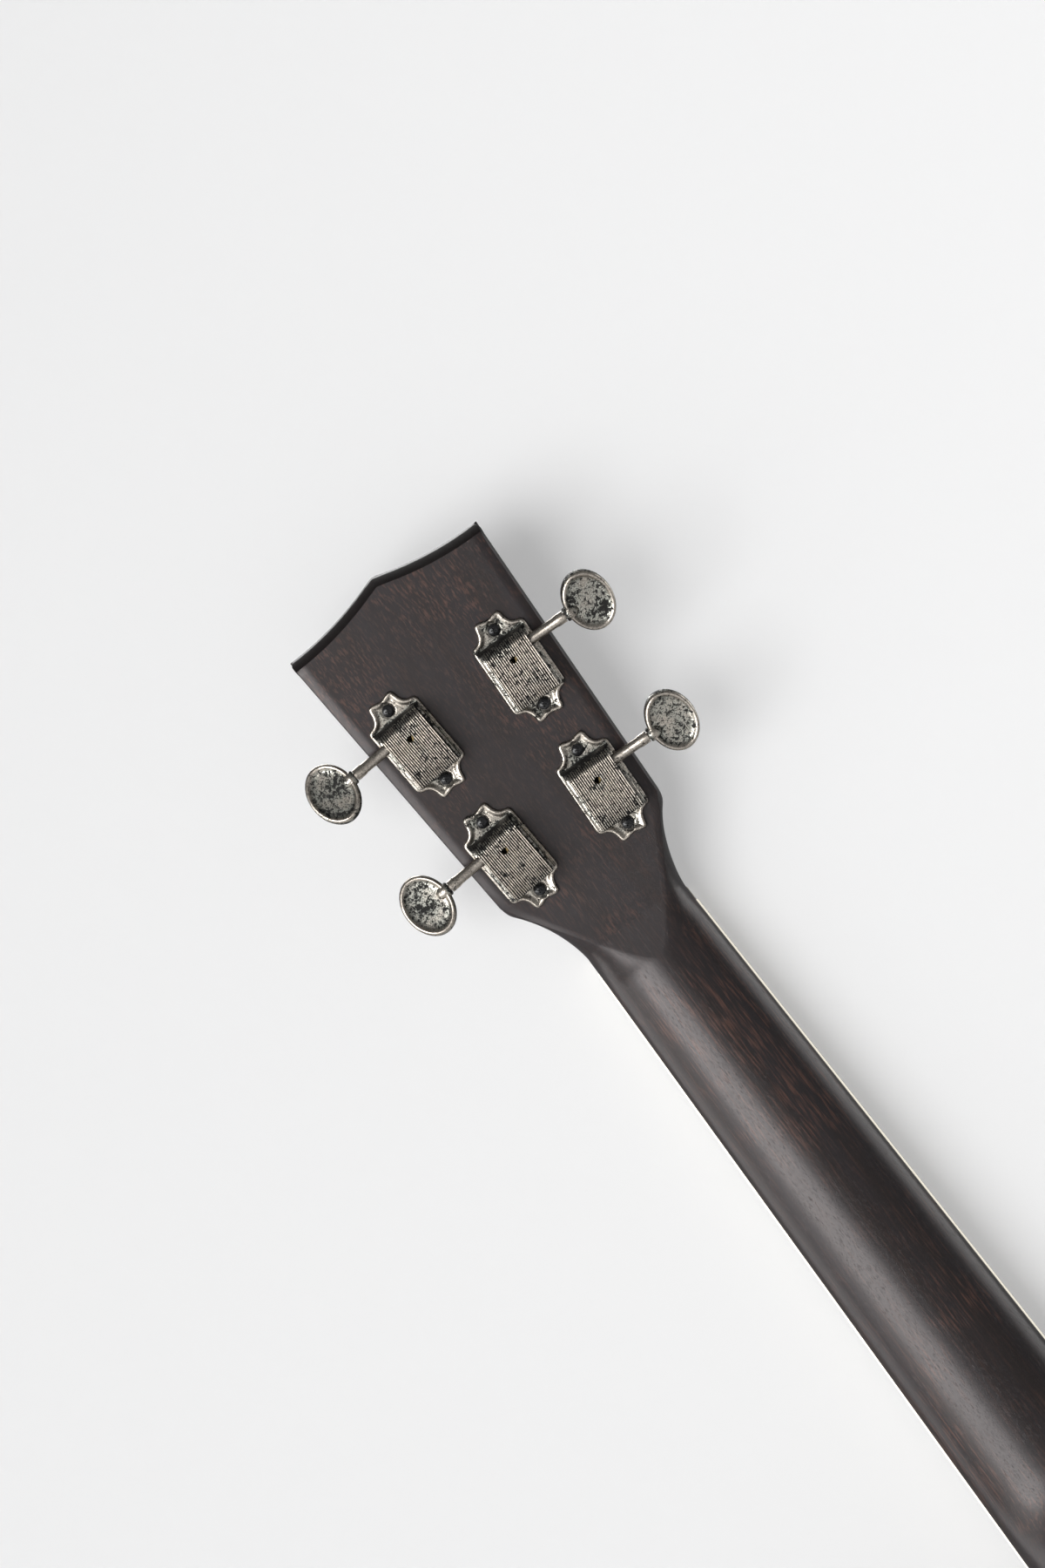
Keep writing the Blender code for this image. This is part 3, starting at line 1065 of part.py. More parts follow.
def build_coverplate():
    """A stamped disc, domed and pierced, with an opening for the saddle."""
    face = coverplate_surface()
    under = [(COVERPLATE_RADIUS, face[-1][1] - COVERPLATE_THICKNESS)]
    under += [(max(radius - COVERPLATE_THICKNESS / 2, 0), z - COVERPLATE_THICKNESS) for radius, z in face[-2::-1]]
    plate = turned("coverplate", face + under, CONE_STEPS, "aged_nickel", cone_centre)
    inner, outer = COVER_SLOT_INNER_SHARE * COVERPLATE_RADIUS, COVER_SLOT_OUTER_SHARE * COVERPLATE_RADIUS
    slots = []
    for i in range(COVER_SLOTS):
        turn = Matrix.Rotation(2 * math.pi * (i + 0.5) / COVER_SLOTS, 2)
        narrow, wide = 0.6 * COVER_SLOT_HALF_WIDTH, COVER_SLOT_HALF_WIDTH
        drop = arc((inner, narrow), (inner, -narrow), -narrow, 2)
        drop += arc((outer, -wide), (outer, wide), -wide, 3)
        slots.append([tuple(turn @ Vector(point)) for point in drop])
    below, above = -COVERPLATE_RISE, 2 * COVERPLATE_RISE
    add_boolean(plate, "cover_slots", slab("cover_slots", slots, below, above), "DIFFERENCE")
    half_x = SADDLE_LENGTH / 2 + SADDLE_OPENING_MARGIN
    half_y = SADDLE_THICKNESS / 2 + SADDLE_OPENING_MARGIN
    opening = boxes("saddle_opening", [((-half_x, -half_y, below), (half_x, half_y, above))])
    add_boolean(plate, "saddle_opening", opening, "DIFFERENCE")


def build_handrest():
    """An arched strap over the saddle, with a foot on the coverplate at each end."""
    face = coverplate_surface()
    (near, high), (far, low) = face[2], face[3]
    span = HANDREST_HALF_SPAN
    slope = (low - high) / (far - near)
    foot_z = high + slope * (span + 0.67 * HANDREST_KNEE - near) + GAP + HANDREST_THICKNESS / 2
    crown = STRING_HEIGHT_SADDLE + HANDREST_CLEARANCE + HANDREST_THICKNESS / 2
    knee = HANDREST_KNEE
    half = [(0, crown + HANDREST_CROWN), (0.5 * span, crown + HANDREST_CROWN / 2), (span - knee, crown - knee / 6),
            (span - knee / 3, crown - 0.67 * knee), (span, foot_z + knee / 2), (span + knee / 3, foot_z),
            (span + HANDREST_FOOT, foot_z)]
    path = [(-x, z) for x, z in half[:0:-1]] + half
    rest = slab("handrest", [strip(path, HANDREST_THICKNESS)], -HANDREST_WIDTH / 2, HANDREST_WIDTH / 2)
    add_part("handrest", rest, "aged_nickel", cone_centre, ACROSS_THE_NECK)


def build_tailpiece():
    """A bent plate: down over the tail under the strap button, and forward to a notched lip."""
    back_y = -(TAIL_AT + GAP + TAILPIECE_THICKNESS / 2)
    lip_y = -TAIL_AT + TAILPIECE_LENGTH
    height = TAILPIECE_HEIGHT
    bend = TAILPIECE_BEND
    path = [(back_y, -TAILPIECE_DROP), (back_y, height - bend), (back_y + 0.3 * bend, height - 0.3 * bend),
            (back_y + bend, height), (lip_y - 0.8 * bend, height), (lip_y - 0.24 * bend, height + 0.24 * bend),
            (lip_y, height + 0.8 * bend), (lip_y, height + TAILPIECE_LIP)]
    half = TAILPIECE_WIDTH / 2
    bent = slab("tailpiece", [strip(path, TAILPIECE_THICKNESS)], -half, half)
    tailpiece = add_part("tailpiece", bent, "aged_nickel", hung_upright, ALONG_THE_NECK)
    notch = max(STRING_RADII.values()) + GAP
    gates = []
    past = TAILPIECE_THICKNESS
    over = height + TAILPIECE_LIP + past
    for index in range(len(STRING_ORDER)):
        x = string_x(index, STRING_SPACING_TAIL)
        gates.append(((x - notch, lip_y - past, STRING_HEIGHT_TAIL - notch), (x + notch, lip_y + past, over)))
    add_boolean(tailpiece, "string_gates", boxes("string_gates", gates), "DIFFERENCE")
    hole = rods("tailpiece_hole", [((0, -TAIL_AT - 0.01, strap_height()), (0, -TAIL_AT + 0.01, strap_height()),
                                    STRAP_SHANK_RADIUS + GAP)], 10)
    add_boolean(tailpiece, "tailpiece_hole", hole, "DIFFERENCE")


def build_strap_button():
    seat = GAP + TAILPIECE_THICKNESS + GAP
    length = STRAP_BUTTON_LENGTH
    profile = [(0, seat + length), (0.8 * STRAP_BUTTON_RADIUS, seat + 0.95 * length),
               (STRAP_BUTTON_RADIUS, seat + 0.8 * length), (STRAP_BUTTON_RADIUS, seat + 0.72 * length),
               (STRAP_BUTTON_NECK, seat + 0.45 * length), (STRAP_BUTTON_FOOT, seat),
               (STRAP_SHANK_RADIUS, seat), (STRAP_SHANK_RADIUS, seat - STRAP_SHANK_LENGTH),
               (0, seat - STRAP_SHANK_LENGTH - STRAP_SHANK_POINT)]
    place = Matrix.Translation((0, -TAIL_AT, strap_height())) @ Matrix.Rotation(math.pi / 2, 4, "X")
    turned("strap_button", profile, 14, "aged_nickel", hung_upright, place)


# Strings

def string_route(index, string):
    """From behind the tailpiece's lip, over saddle and nut, and down round the post."""
    radius = STRING_RADII[string]
    side, place = tuner_places()[string]
    lip_y = -TAIL_AT + TAILPIECE_LENGTH
    route = [Vector((string_x(index, STRING_SPACING_TAIL), lip_y - STRING_END, STRING_HEIGHT_TAIL)),
             Vector((string_x(index, STRING_SPACING_TAIL), lip_y, STRING_HEIGHT_TAIL)),
             Vector((string_x(index, STRING_SPACING_SADDLE), -SCALE_LENGTH, STRING_HEIGHT_SADDLE)),
             Vector((string_x(index, STRING_SPACING_NUT), 0, STRING_HEIGHT_NUT)),
             Vector((string_x(index, STRING_SPACING_NUT), HEAD_START, STRING_HEIGHT_NUT))]
    coil_radius = (POST_WAIST_RADIUS + GAP + radius) / math.cos(math.pi / COIL_STEPS)
    pitch = 2 * radius + WINDING_SPACE
    centre = place @ Vector((0, POST_AT, 0))
    steps = round(COIL_STEPS * WINDING_TURNS)
    for i in range(steps + 1):
        turns = WINDING_TURNS * i / steps
        angle = (math.pi if side > 0 else 0) - side * 2 * math.pi * turns
        across = centre.x + coil_radius * math.cos(angle)
        along = centre.y + coil_radius * math.sin(angle)
        out = -(HEADPLATE_FRONT + WINDING_START - pitch * turns)
        route.append(head_matrix @ Vector((across, along, out)))
    print(f"string {string}: winding's least gap to itself {least_gap(route[5:], radius) * 1000:.2f} mm")
    return route


def least_gap(points, radius):
    """Clear space between any two stretches of a winding that are half a turn or more apart."""
    return min((a - b).length for i, a in enumerate(points) for b in points[i + 5:]) - 2 * radius


def build_strings():
    for index, string in enumerate(STRING_ORDER):
        curve = bpy.data.curves.new(f"string_{string}", "CURVE")
        curve.dimensions = "3D"
        curve.bevel_depth = STRING_RADII[string]
        curve.bevel_resolution = 1
        curve.use_fill_caps = True
        route = string_route(index, string)
        spline = curve.splines.new("POLY")
        spline.points.add(len(route) - 1)
        for point, place in zip(spline.points, route):
            point.co = (*place, 1)
        add_part(f"string_{string}", curve, "clear_string", hung_upright)


build_neck()
build_headplate()
build_fingerboard()
build_nut()
build_tuners()
build_sides()
build_plates()
build_blocks()
build_screens()
build_soundwell()
build_cone()
build_biscuit_and_saddle()
build_coverplate()
build_handrest()
build_tailpiece()
build_strap_button()
build_strings()
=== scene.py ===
import json
import math

import bmesh
import bpy
import numpy
from mathutils import Matrix, Vector
from mathutils.geometry import delaunay_2d_cdt, interpolate_bezier

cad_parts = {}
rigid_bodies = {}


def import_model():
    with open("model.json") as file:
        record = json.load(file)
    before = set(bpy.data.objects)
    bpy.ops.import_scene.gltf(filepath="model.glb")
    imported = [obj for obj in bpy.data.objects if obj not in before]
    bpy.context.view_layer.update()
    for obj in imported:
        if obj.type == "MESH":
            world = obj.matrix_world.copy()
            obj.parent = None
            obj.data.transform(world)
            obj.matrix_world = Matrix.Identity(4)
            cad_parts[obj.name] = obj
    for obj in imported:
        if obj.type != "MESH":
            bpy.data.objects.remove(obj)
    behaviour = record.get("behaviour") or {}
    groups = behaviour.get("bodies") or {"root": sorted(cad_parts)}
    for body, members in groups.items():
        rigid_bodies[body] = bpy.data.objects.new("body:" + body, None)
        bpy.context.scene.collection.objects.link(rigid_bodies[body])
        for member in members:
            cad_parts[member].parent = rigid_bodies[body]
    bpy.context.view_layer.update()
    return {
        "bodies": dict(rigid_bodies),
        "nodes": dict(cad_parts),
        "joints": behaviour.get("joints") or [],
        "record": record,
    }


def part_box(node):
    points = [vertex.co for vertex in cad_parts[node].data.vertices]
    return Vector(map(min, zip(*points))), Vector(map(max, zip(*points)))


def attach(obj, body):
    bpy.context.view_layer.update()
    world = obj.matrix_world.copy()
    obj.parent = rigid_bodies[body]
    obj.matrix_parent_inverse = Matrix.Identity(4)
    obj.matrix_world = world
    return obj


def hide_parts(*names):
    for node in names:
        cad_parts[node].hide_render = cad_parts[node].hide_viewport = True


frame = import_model()
nodes = frame["nodes"]
print("frame loaded:", len(nodes), "nodes")


# Camera, at the angle the instrument was photographed from: over the back of the headstock
photoCamera = {
    "fieldOfView": 20.0,      # degrees, over the frame's height
    "distance": 1.384,
    "azimuth": -2.2,          # degrees round from straight behind, toward the treble side
    "elevation": -5.5,        # a little from below, because the instrument lies face down on its handrest
    "roll": -37.15,
    "target": (0.0023, 0.0, 0.0613),
}


def setCamera(values):
    data = bpy.data.cameras.new("photoCamera")
    camera = bpy.data.objects.new("photoCamera", data)
    bpy.context.scene.collection.objects.link(camera)
    data.lens = data.sensor_width / 2 / math.tan(math.radians(values["fieldOfView"]) / 2)
    data.clip_start, data.clip_end = 0.05, 20
    azimuth, elevation = math.radians(values["azimuth"]), math.radians(values["elevation"])
    back = Vector((math.sin(azimuth) * math.cos(elevation), math.cos(azimuth) * math.cos(elevation),
                   math.sin(elevation)))
    right = Vector((0, 0, 1)).cross(back).normalized()
    up = back.cross(right)
    roll = math.radians(values["roll"])
    turnedRight = math.cos(roll) * right + math.sin(roll) * up
    turnedUp = -math.sin(roll) * right + math.cos(roll) * up
    pose = Matrix((turnedRight, turnedUp, back)).transposed().to_4x4()
    pose.translation = Vector(values["target"]) + back * values["distance"]
    camera.matrix_world = pose
    bpy.context.scene.camera = camera
    return turnedRight, turnedUp, back


imageRight, imageUp, towardCamera = setCamera(photoCamera)
print("camera placed")


# Helpers for node trees

# Kind of node, attributes, socket values, and sockets linked from other nodes
def addNode(tree, kind, settings=None, values=None, links=None):
    node = tree.nodes.new(kind)
    for key, value in (settings or {}).items():
        setattr(node, key, value)
    for key, value in (values or {}).items():
        node.inputs[key].default_value = value
    for key, source in (links or {}).items():
        tree.links.new(source, node.inputs[key])
    return node


# 0 below low, 1 above high, smooth between
def ramp(tree, source, low, high, kind="SMOOTHSTEP"):
    node = addNode(tree, "ShaderNodeMapRange", {"interpolation_type": kind},
                   {"From Min": low, "From Max": high}, {"Value": source})
    return node.outputs["Result"]


# A straight run from first, where source is 0, to second, where it is 1
def blend(tree, source, first, second):
    node = addNode(tree, "ShaderNodeMapRange", values={"To Min": first, "To Max": second},
                   links={"Value": source})
    return node.outputs["Result"]


def math2(tree, operation, first, second, clamp=False):
    node = addNode(tree, "ShaderNodeMath", {"operation": operation, "use_clamp": clamp})
    for i, item in enumerate((first, second)):
        if isinstance(item, (int, float)):
            node.inputs[i].default_value = item
        else:
            tree.links.new(item, node.inputs[i])
    return node.outputs[0]


def mixColour(tree, factor, first, second):
    node = addNode(tree, "ShaderNodeMix", {"data_type": "RGBA"})
    for index, item in ((0, factor), (6, first), (7, second)):
        if isinstance(item, tuple):
            node.inputs[index].default_value = (*item, 1)
        else:
            tree.links.new(item, node.inputs[index])
    return node.outputs[2]


def noise(tree, place, scale, detail, roughness=0.5, distortion=0.0):
    values = {"Scale": scale, "Detail": detail, "Roughness": roughness, "Distortion": distortion}
    node = addNode(tree, "ShaderNodeTexNoise", values=values, links={"Vector": place})
    return node.outputs["Fac"]


# Stage: a pale board that the instrument lies on face down, a floor below it, and soft lamps
stage = {
    "boardColour": (0.50, 0.50, 0.50),
    "boardGlow": 0.335,           # light of the board's own at the middle of the picture
    "glowRight": 0.41,            # and what it gains a metre, to the right and up
    "glowUp": 0.21,
    "glowSpread": 0.14,
    "slantFrom": 0.70,            # the board melts away where it is seen at a slant
    "slantTo": 0.92,
    "boardSize": 2.4,
    "boardMiddle": 0.4,           # up from the handrest
    "underHandrest": 0.001,
    "underNeck": 0.0004,
    "neckAbove": -0.30,
    "floorDrop": 0.60,
    "floorColour": (0.62, 0.62, 0.625),
    "floorGlow": 0.42,            # as the camera sees it
    "floorNear": 0.50,            # from here outward the floor melts into the room
    "floorFar": 2.55,
    "floorSize": 3.0,
    "worldColour": (0.97, 0.98, 1.0),
    "worldStrength": 0.14,
    "worldSeen": 0.86,
    "lampAim": (0, 0.02, 0.02),
}

lamps = {      # right, up and toward the camera from the headstock, all in metres, then size and watts
    "key": ((-1.06, -0.56, 1.75), 1.60, 45.0),
    "fill": ((0.60, 0.75, 1.30), 1.20, 0.5),
    "side": ((-1.35, -0.75, 0.75), 1.20, 7.5),
    "rimLeft": ((-0.85, -0.60, -0.30), 0.80, 3.0),
    "rimRight": ((0.80, 0.55, -0.35), 0.80, 3.0),
    "frontKey": ((-0.50, 0.90, -1.30), 1.00, 13.0),
    "frontFill": ((0.90, -0.70, -1.20), 1.20, 7.0),
}


# A matt colour with a glow of its own, clear where share is 0
def makeStageFinish(material, colour, glow, share):
    tree = material.node_tree
    shade = addNode(tree, "ShaderNodeBsdfDiffuse", values={"Color": (*colour, 1)})
    light = addNode(tree, "ShaderNodeEmission", links={"Strength": glow})
    both = addNode(tree, "ShaderNodeAddShader", links={0: shade.outputs[0], 1: light.outputs[0]})
    clear = addNode(tree, "ShaderNodeBsdfTransparent")
    mix = addNode(tree, "ShaderNodeMixShader", links={0: share, 1: clear.outputs[0], 2: both.outputs[0]})
    addNode(tree, "ShaderNodeOutputMaterial", links={"Surface": mix.outputs[0]})


def newStageFinish(name):
    material = bpy.data.materials.new(name)
    material.use_nodes = True
    material.node_tree.nodes.clear()
    return material, material.node_tree


# Only a camera in front of the board sees it, so it neither shades nor hides the instrument from other sides
def makeBoardFinish():
    material, tree = newStageFinish("paleBoard")
    path = addNode(tree, "ShaderNodeLightPath")
    side = addNode(tree, "ShaderNodeNewGeometry")
    ahead = math2(tree, "SUBTRACT", path.outputs["Is Camera Ray"], side.outputs["Backfacing"], clamp=True)
    facing = addNode(tree, "ShaderNodeLayerWeight")
    edge = addNode(tree, "ShaderNodeMapRange", values={
        "From Min": stage["slantFrom"], "From Max": stage["slantTo"], "To Min": 1.0, "To Max": 0.0},
        links={"Value": facing.outputs["Facing"]})
    place = addNode(tree, "ShaderNodeTexCoord")
    across = addNode(tree, "ShaderNodeVectorMath", {"operation": "DOT_PRODUCT"},
                     {1: stage["glowRight"] * imageRight + stage["glowUp"] * imageUp},
                     {0: place.outputs["Object"]})
    middle, spread = stage["boardGlow"], stage["glowSpread"]
    glow = addNode(tree, "ShaderNodeMapRange", values={
        "From Min": -spread, "From Max": spread, "To Min": middle - spread, "To Max": middle + spread},
        links={"Value": across.outputs["Value"]})
    share = math2(tree, "MULTIPLY", ahead, edge.outputs["Result"])
    makeStageFinish(material, stage["boardColour"], glow.outputs["Result"], share)
    return material


def makeFloorFinish():
    material, tree = newStageFinish("paleFloor")
    seen = addNode(tree, "ShaderNodeLightPath").outputs["Is Camera Ray"]
    place = addNode(tree, "ShaderNodeTexCoord")
    reach = addNode(tree, "ShaderNodeVectorMath", {"operation": "LENGTH"},
                    links={0: place.outputs["Object"]})
    fade = ramp(tree, reach.outputs["Value"], stage["floorNear"], stage["floorFar"], "SMOOTHERSTEP")
    share = math2(tree, "SUBTRACT", 1.0, math2(tree, "MULTIPLY", seen, fade))
    makeStageFinish(material, stage["floorColour"], math2(tree, "MULTIPLY", seen, stage["floorGlow"]), share)
    return material


def plainQuad(name, corners, material):
    mesh = bpy.data.meshes.new(name)
    mesh.from_pydata(corners, [], [(0, 1, 2, 3)])
    mesh.materials.append(material)
    quad = bpy.data.objects.new(name, mesh)
    bpy.context.scene.collection.objects.link(quad)


# The board touches the handrest and, at the other end, the nearest point of the neck
def setStage():
    low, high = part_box("handrest")
    touch = Vector((0, low[1] - stage["underHandrest"], (low[2] + high[2]) / 2))
    spots = [node.matrix_world @ vertex.co for node in nodes.values() for vertex in node.data.vertices]
    rise = min((spot.y - touch.y - stage["underNeck"]) / (spot.z - touch.z)
               for spot in spots if spot.z > stage["neckAbove"])
    along = Vector((0, rise, 1)).normalized()
    middle = touch + along * stage["boardMiddle"]
    across, reach = Vector((1, 0, 0)) * stage["boardSize"], along * stage["boardSize"]
    plainQuad("backdropBoard", [middle - across - reach, middle - across + reach, middle + across + reach,
                                middle + across - reach], makeBoardFinish())
    size, drop = stage["floorSize"], -stage["floorDrop"]
    plainQuad("paleFloor", [(-size, -size, drop), (size, -size, drop), (size, size, drop),
                            (-size, size, drop)],
              makeFloorFinish())


def setLight():
    world = bpy.data.worlds.new("softRoom")
    bpy.context.scene.world = world
    world.use_nodes = True
    tree = world.node_tree
    path = addNode(tree, "ShaderNodeLightPath")
    strength = blend(tree, path.outputs["Is Camera Ray"], stage["worldStrength"], stage["worldSeen"])
    background = tree.nodes["Background"]
    background.inputs["Color"].default_value = (*stage["worldColour"], 1)
    tree.links.new(strength, background.inputs["Strength"])
    aim = Vector(stage["lampAim"])
    for name, (place, size, watts) in lamps.items():
        data = bpy.data.lights.new(name, "AREA")
        data.shape = "DISK"
        data.size = size
        data.energy = watts
        lamp = bpy.data.objects.new(name, data)
        bpy.context.scene.collection.objects.link(lamp)
        lamp.location = aim + place[0] * imageRight + place[1] * imageUp + place[2] * towardCamera
        lamp.rotation_mode = "QUATERNION"
        lamp.rotation_quaternion = (aim - lamp.location).to_track_quat("-Z", "Y")
    bpy.context.scene.view_settings.view_transform = "Standard"


setStage()
setLight()
print("stage and lamps set")


# Shader groups that several finishes share

def newGroup(name, inputs, outputs):
    group = bpy.data.node_groups.new(name, "ShaderNodeTree")
    for label, value in inputs.items():
        socket = group.interface.new_socket(label, in_out="INPUT", socket_type="NodeSocketFloat")
        socket.default_value = value
    for label in outputs:
        group.interface.new_socket(label, in_out="OUTPUT", socket_type="NodeSocketFloat")
    return group, group.nodes.new("NodeGroupInput").outputs, group.nodes.new("NodeGroupOutput").inputs


# Straight wood grain along Z: long streaks in worn patches, short pores and slow shading
def makeGrainGroup():
    group, start, end = newGroup("woodGrain", {"Width": 900.0, "Length": 26.0, "Seed": 0.0},
                                 ("Streaks", "Pores", "Shading"))
    place = addNode(group, "ShaderNodeTexCoord").outputs["Object"]
    stretch = addNode(group, "ShaderNodeCombineXYZ", links={
        "X": start["Width"], "Y": start["Width"], "Z": start["Length"]})
    scaled = addNode(group, "ShaderNodeVectorMath", {"operation": "MULTIPLY"},
                     links={0: place, 1: stretch.outputs[0]})
    shifted = addNode(group, "ShaderNodeVectorMath", {"operation": "ADD"},
                      links={0: scaled.outputs[0], 1: start["Seed"]}).outputs[0]
    streaks = ramp(group, noise(group, shifted, 0.55, 5.0, 0.62), 0.47, 0.68)
    worn = ramp(group, noise(group, place, 28.0, 3.0, 0.6), 0.42, 0.66)
    patches = math2(group, "ADD", 0.25, math2(group, "MULTIPLY", worn, 0.9))
    group.links.new(math2(group, "MULTIPLY", streaks, patches), end["Streaks"])
    group.links.new(ramp(group, noise(group, shifted, 2.6, 2.0), 0.60, 0.74), end["Pores"])
    group.links.new(ramp(group, noise(group, shifted, 0.045, 2.0), 0.35, 0.65), end["Shading"])
    return group


# Old plating: dark spots of two sizes, a fine worn tone and green stains; where the patinaAndShade share is
# high the spots, the dull tone and the stains grow, and near its top the spots turn to near-black painted
# shade
def makePatinaGroup():
    group, start, end = newGroup("oldPlating", {"Scale": 1.0, "Amount": 0.5, "PatinaAndShade": 0.0},
                                 ("Spots", "Tone", "Stain", "Height"))
    place = addNode(group, "ShaderNodeTexCoord").outputs["Object"]
    scaled = addNode(group, "ShaderNodeVectorMath", {"operation": "SCALE"},
                     links={0: place, "Scale": start["Scale"]}).outputs[0]
    fine = noise(group, scaled, 2300.0, 3.0, 0.6)
    middle = noise(group, scaled, 900.0, 5.0, 0.72, 0.5)
    broad = noise(group, scaled, 170.0, 3.0, 0.6)
    patinaAndShade = start["PatinaAndShade"]
    patch = math2(group, "MULTIPLY", math2(group, "SUBTRACT", broad, 0.5), 0.45)
    # More spots and a duller tone where the patinaAndShade share is high, partly patina and partly painted
    # shade
    patinaAndShadeBias = math2(group, "MULTIPLY", patinaAndShade, 0.20)
    bias = math2(group, "ADD", math2(group, "MULTIPLY", start["Amount"], 0.16), patinaAndShadeBias)
    big = ramp(group, math2(group, "ADD", math2(group, "ADD", middle, bias), patch), 0.64, 0.70)
    small = ramp(group, math2(group, "ADD", fine, bias), 0.71, 0.77)
    # Near-black painted shade where the patinaAndShade share is near full: the plates' sides, the covers'
    # rib grooves, tip ends and upper flanks
    deep = math2(group, "MULTIPLY", ramp(group, patinaAndShade, 0.72, 0.98), 0.92)
    spots = math2(group, "MAXIMUM", math2(group, "MAXIMUM", big, small), deep)
    group.links.new(spots, end["Spots"])
    worn = math2(group, "ADD", math2(group, "MULTIPLY", fine, 0.5), math2(group, "MULTIPLY", middle, 0.5))
    dulled = math2(group, "ADD", worn, math2(group, "MULTIPLY", bias, 0.35))
    group.links.new(ramp(group, dulled, 0.42, 0.64), end["Tone"])
    stain = math2(group, "ADD", math2(group, "MULTIPLY", broad, 0.9), math2(group, "MULTIPLY", patinaAndShade, 0.55))
    group.links.new(ramp(group, stain, 0.50, 0.85), end["Stain"])
    group.links.new(math2(group, "SUBTRACT", math2(group, "MULTIPLY", fine, 0.4), spots), end["Height"])
    return group


grainGroup = makeGrainGroup()
patinaGroup = makePatinaGroup()
print("shader groups made")


# Finishes, one for each material slot of the record

finish = {
    "mahoganyDark": (0.020, 0.016, 0.0155),
    "mahoganyShade": (0.022, 0.019, 0.020),
    "mahoganyRed": (0.110, 0.056, 0.042),
    "ebonyDark": (0.020, 0.017, 0.016),
    "ebonyBrown": (0.050, 0.034, 0.026),
    "woodSheen": (1.0, 0.945, 0.94),
    "sawnSheen": 0.12,
    "nickelBright": (0.66, 0.60, 0.52),
    "nickelWorn": (0.26, 0.23, 0.20),
    # near black: the patina's dark spots, and the painted shade in hollows and on sides
    "nickelStain": (0.30, 0.34, 0.31),
    "nickelPatinaAndShade": (0.014, 0.013, 0.012),
    "spotMetal": 0.55,
    "spotGloss": 0.62,
    "blackSteel": (0.016, 0.016, 0.017),
    "cream": (0.86, 0.81, 0.69),
    "bone": (0.78, 0.73, 0.62),
    "spruce": (0.52, 0.36, 0.21),
    "spruceShade": (0.416, 0.288, 0.168),
    "maple": (0.62, 0.46, 0.29),
    "mapleShade": (0.527, 0.391, 0.2465),
    "brass": (0.36, 0.26, 0.12),
    "aluminium": (0.72, 0.72, 0.73),
    "stringWhite": (0.80, 0.78, 0.74),
}


def newFinish(name):
    material = bpy.data.materials.new(name)
    material.use_nodes = True
    tree = material.node_tree
    return material, tree, tree.nodes["Principled BSDF"]


def addBump(tree, shader, height, distance, strength=0.5):
    bump = addNode(tree, "ShaderNodeBump", values={"Distance": distance, "Strength": strength},
                   links={"Height": height})
    tree.links.new(bump.outputs["Normal"], shader.inputs["Normal"])


def makeWood(name, dark, light, deep, values):
    material, tree, shader = newFinish(name)
    grain = addNode(tree, "ShaderNodeGroup", {"node_tree": grainGroup}, {
        "Width": values["width"], "Length": values["length"], "Seed": values["seed"]}).outputs
    sawn = addNode(tree, "ShaderNodeAttribute", {"attribute_name": "sawnEnd"}).outputs["Fac"]
    base = mixColour(tree, grain["Shading"], finish[deep], finish[dark])
    streaked = mixColour(tree, math2(tree, "MULTIPLY", grain["Streaks"], values["streak"]), base,
                         finish[light])
    pored = mixColour(tree, math2(tree, "MULTIPLY", grain["Pores"], values["pore"]), streaked, finish[deep])
    colour = mixColour(tree, sawn, pored, tuple(c * values["end"] for c in finish[dark]))
    tree.links.new(colour, shader.inputs["Base Color"])
    rough = blend(tree, math2(tree, "MAXIMUM", grain["Pores"], sawn), *values["gloss"])
    tree.links.new(rough, shader.inputs["Roughness"])
    addBump(tree, shader, math2(tree, "SUBTRACT", 1.0, grain["Pores"]), values["relief"])
    tree.links.new(blend(tree, sawn, values["specular"], finish["sawnSheen"]),
                   shader.inputs["Specular IOR Level"])
    shader.inputs["Specular Tint"].default_value = (*finish["woodSheen"], 1)
    return material


def makePlating(name, values):
    material, tree, shader = newFinish(name)
    # Each point's patinaAndShade share, for patina in hollows and for painted shade
    patinaAndShade = addNode(tree, "ShaderNodeAttribute", {"attribute_name": "patinaAndShade"}).outputs["Fac"]
    patina = addNode(tree, "ShaderNodeGroup", {"node_tree": patinaGroup}, {
        "Scale": values["scale"], "Amount": values["amount"]}, {"PatinaAndShade": patinaAndShade}).outputs
    worn = mixColour(tree, math2(tree, "MULTIPLY", patina["Tone"], values["wear"]),
                     finish["nickelBright"], finish["nickelWorn"])
    stained = mixColour(tree, math2(tree, "MULTIPLY", patina["Stain"], values["stain"]), worn,
                        finish["nickelStain"])
    # The dark colour goes on the spots, both the patina and the painted shade of the patinaAndShade share
    tree.links.new(mixColour(tree, patina["Spots"], stained, finish["nickelPatinaAndShade"]),
                   shader.inputs["Base Color"])
    tree.links.new(blend(tree, patina["Spots"], 1.0, finish["spotMetal"]), shader.inputs["Metallic"])
    tree.links.new(blend(tree, patina["Spots"], values["polish"], finish["spotGloss"]),
                   shader.inputs["Roughness"])
    addBump(tree, shader, patina["Height"], values["relief"])
    return material


# Painted light: an emission where the surface faces +Y, toward the back of the instrument, so the binding's
# edge there shows bright without a lamp on it
def addPaintedGlow(tree, shader, colour, strength):
    side = addNode(tree, "ShaderNodeNewGeometry")
    facing = addNode(tree, "ShaderNodeVectorMath", {"operation": "DOT_PRODUCT"}, {1: (0, 1, 0)},
                     {0: side.outputs["Normal"]})
    lit = addNode(tree, "ShaderNodeMapRange", values={"From Min": -0.1, "From Max": 0.6, "To Max": strength},
                  links={"Value": facing.outputs["Value"]})
    shader.inputs["Emission Color"].default_value = (*colour, 1)
    tree.links.new(lit.outputs["Result"], shader.inputs["Emission Strength"])


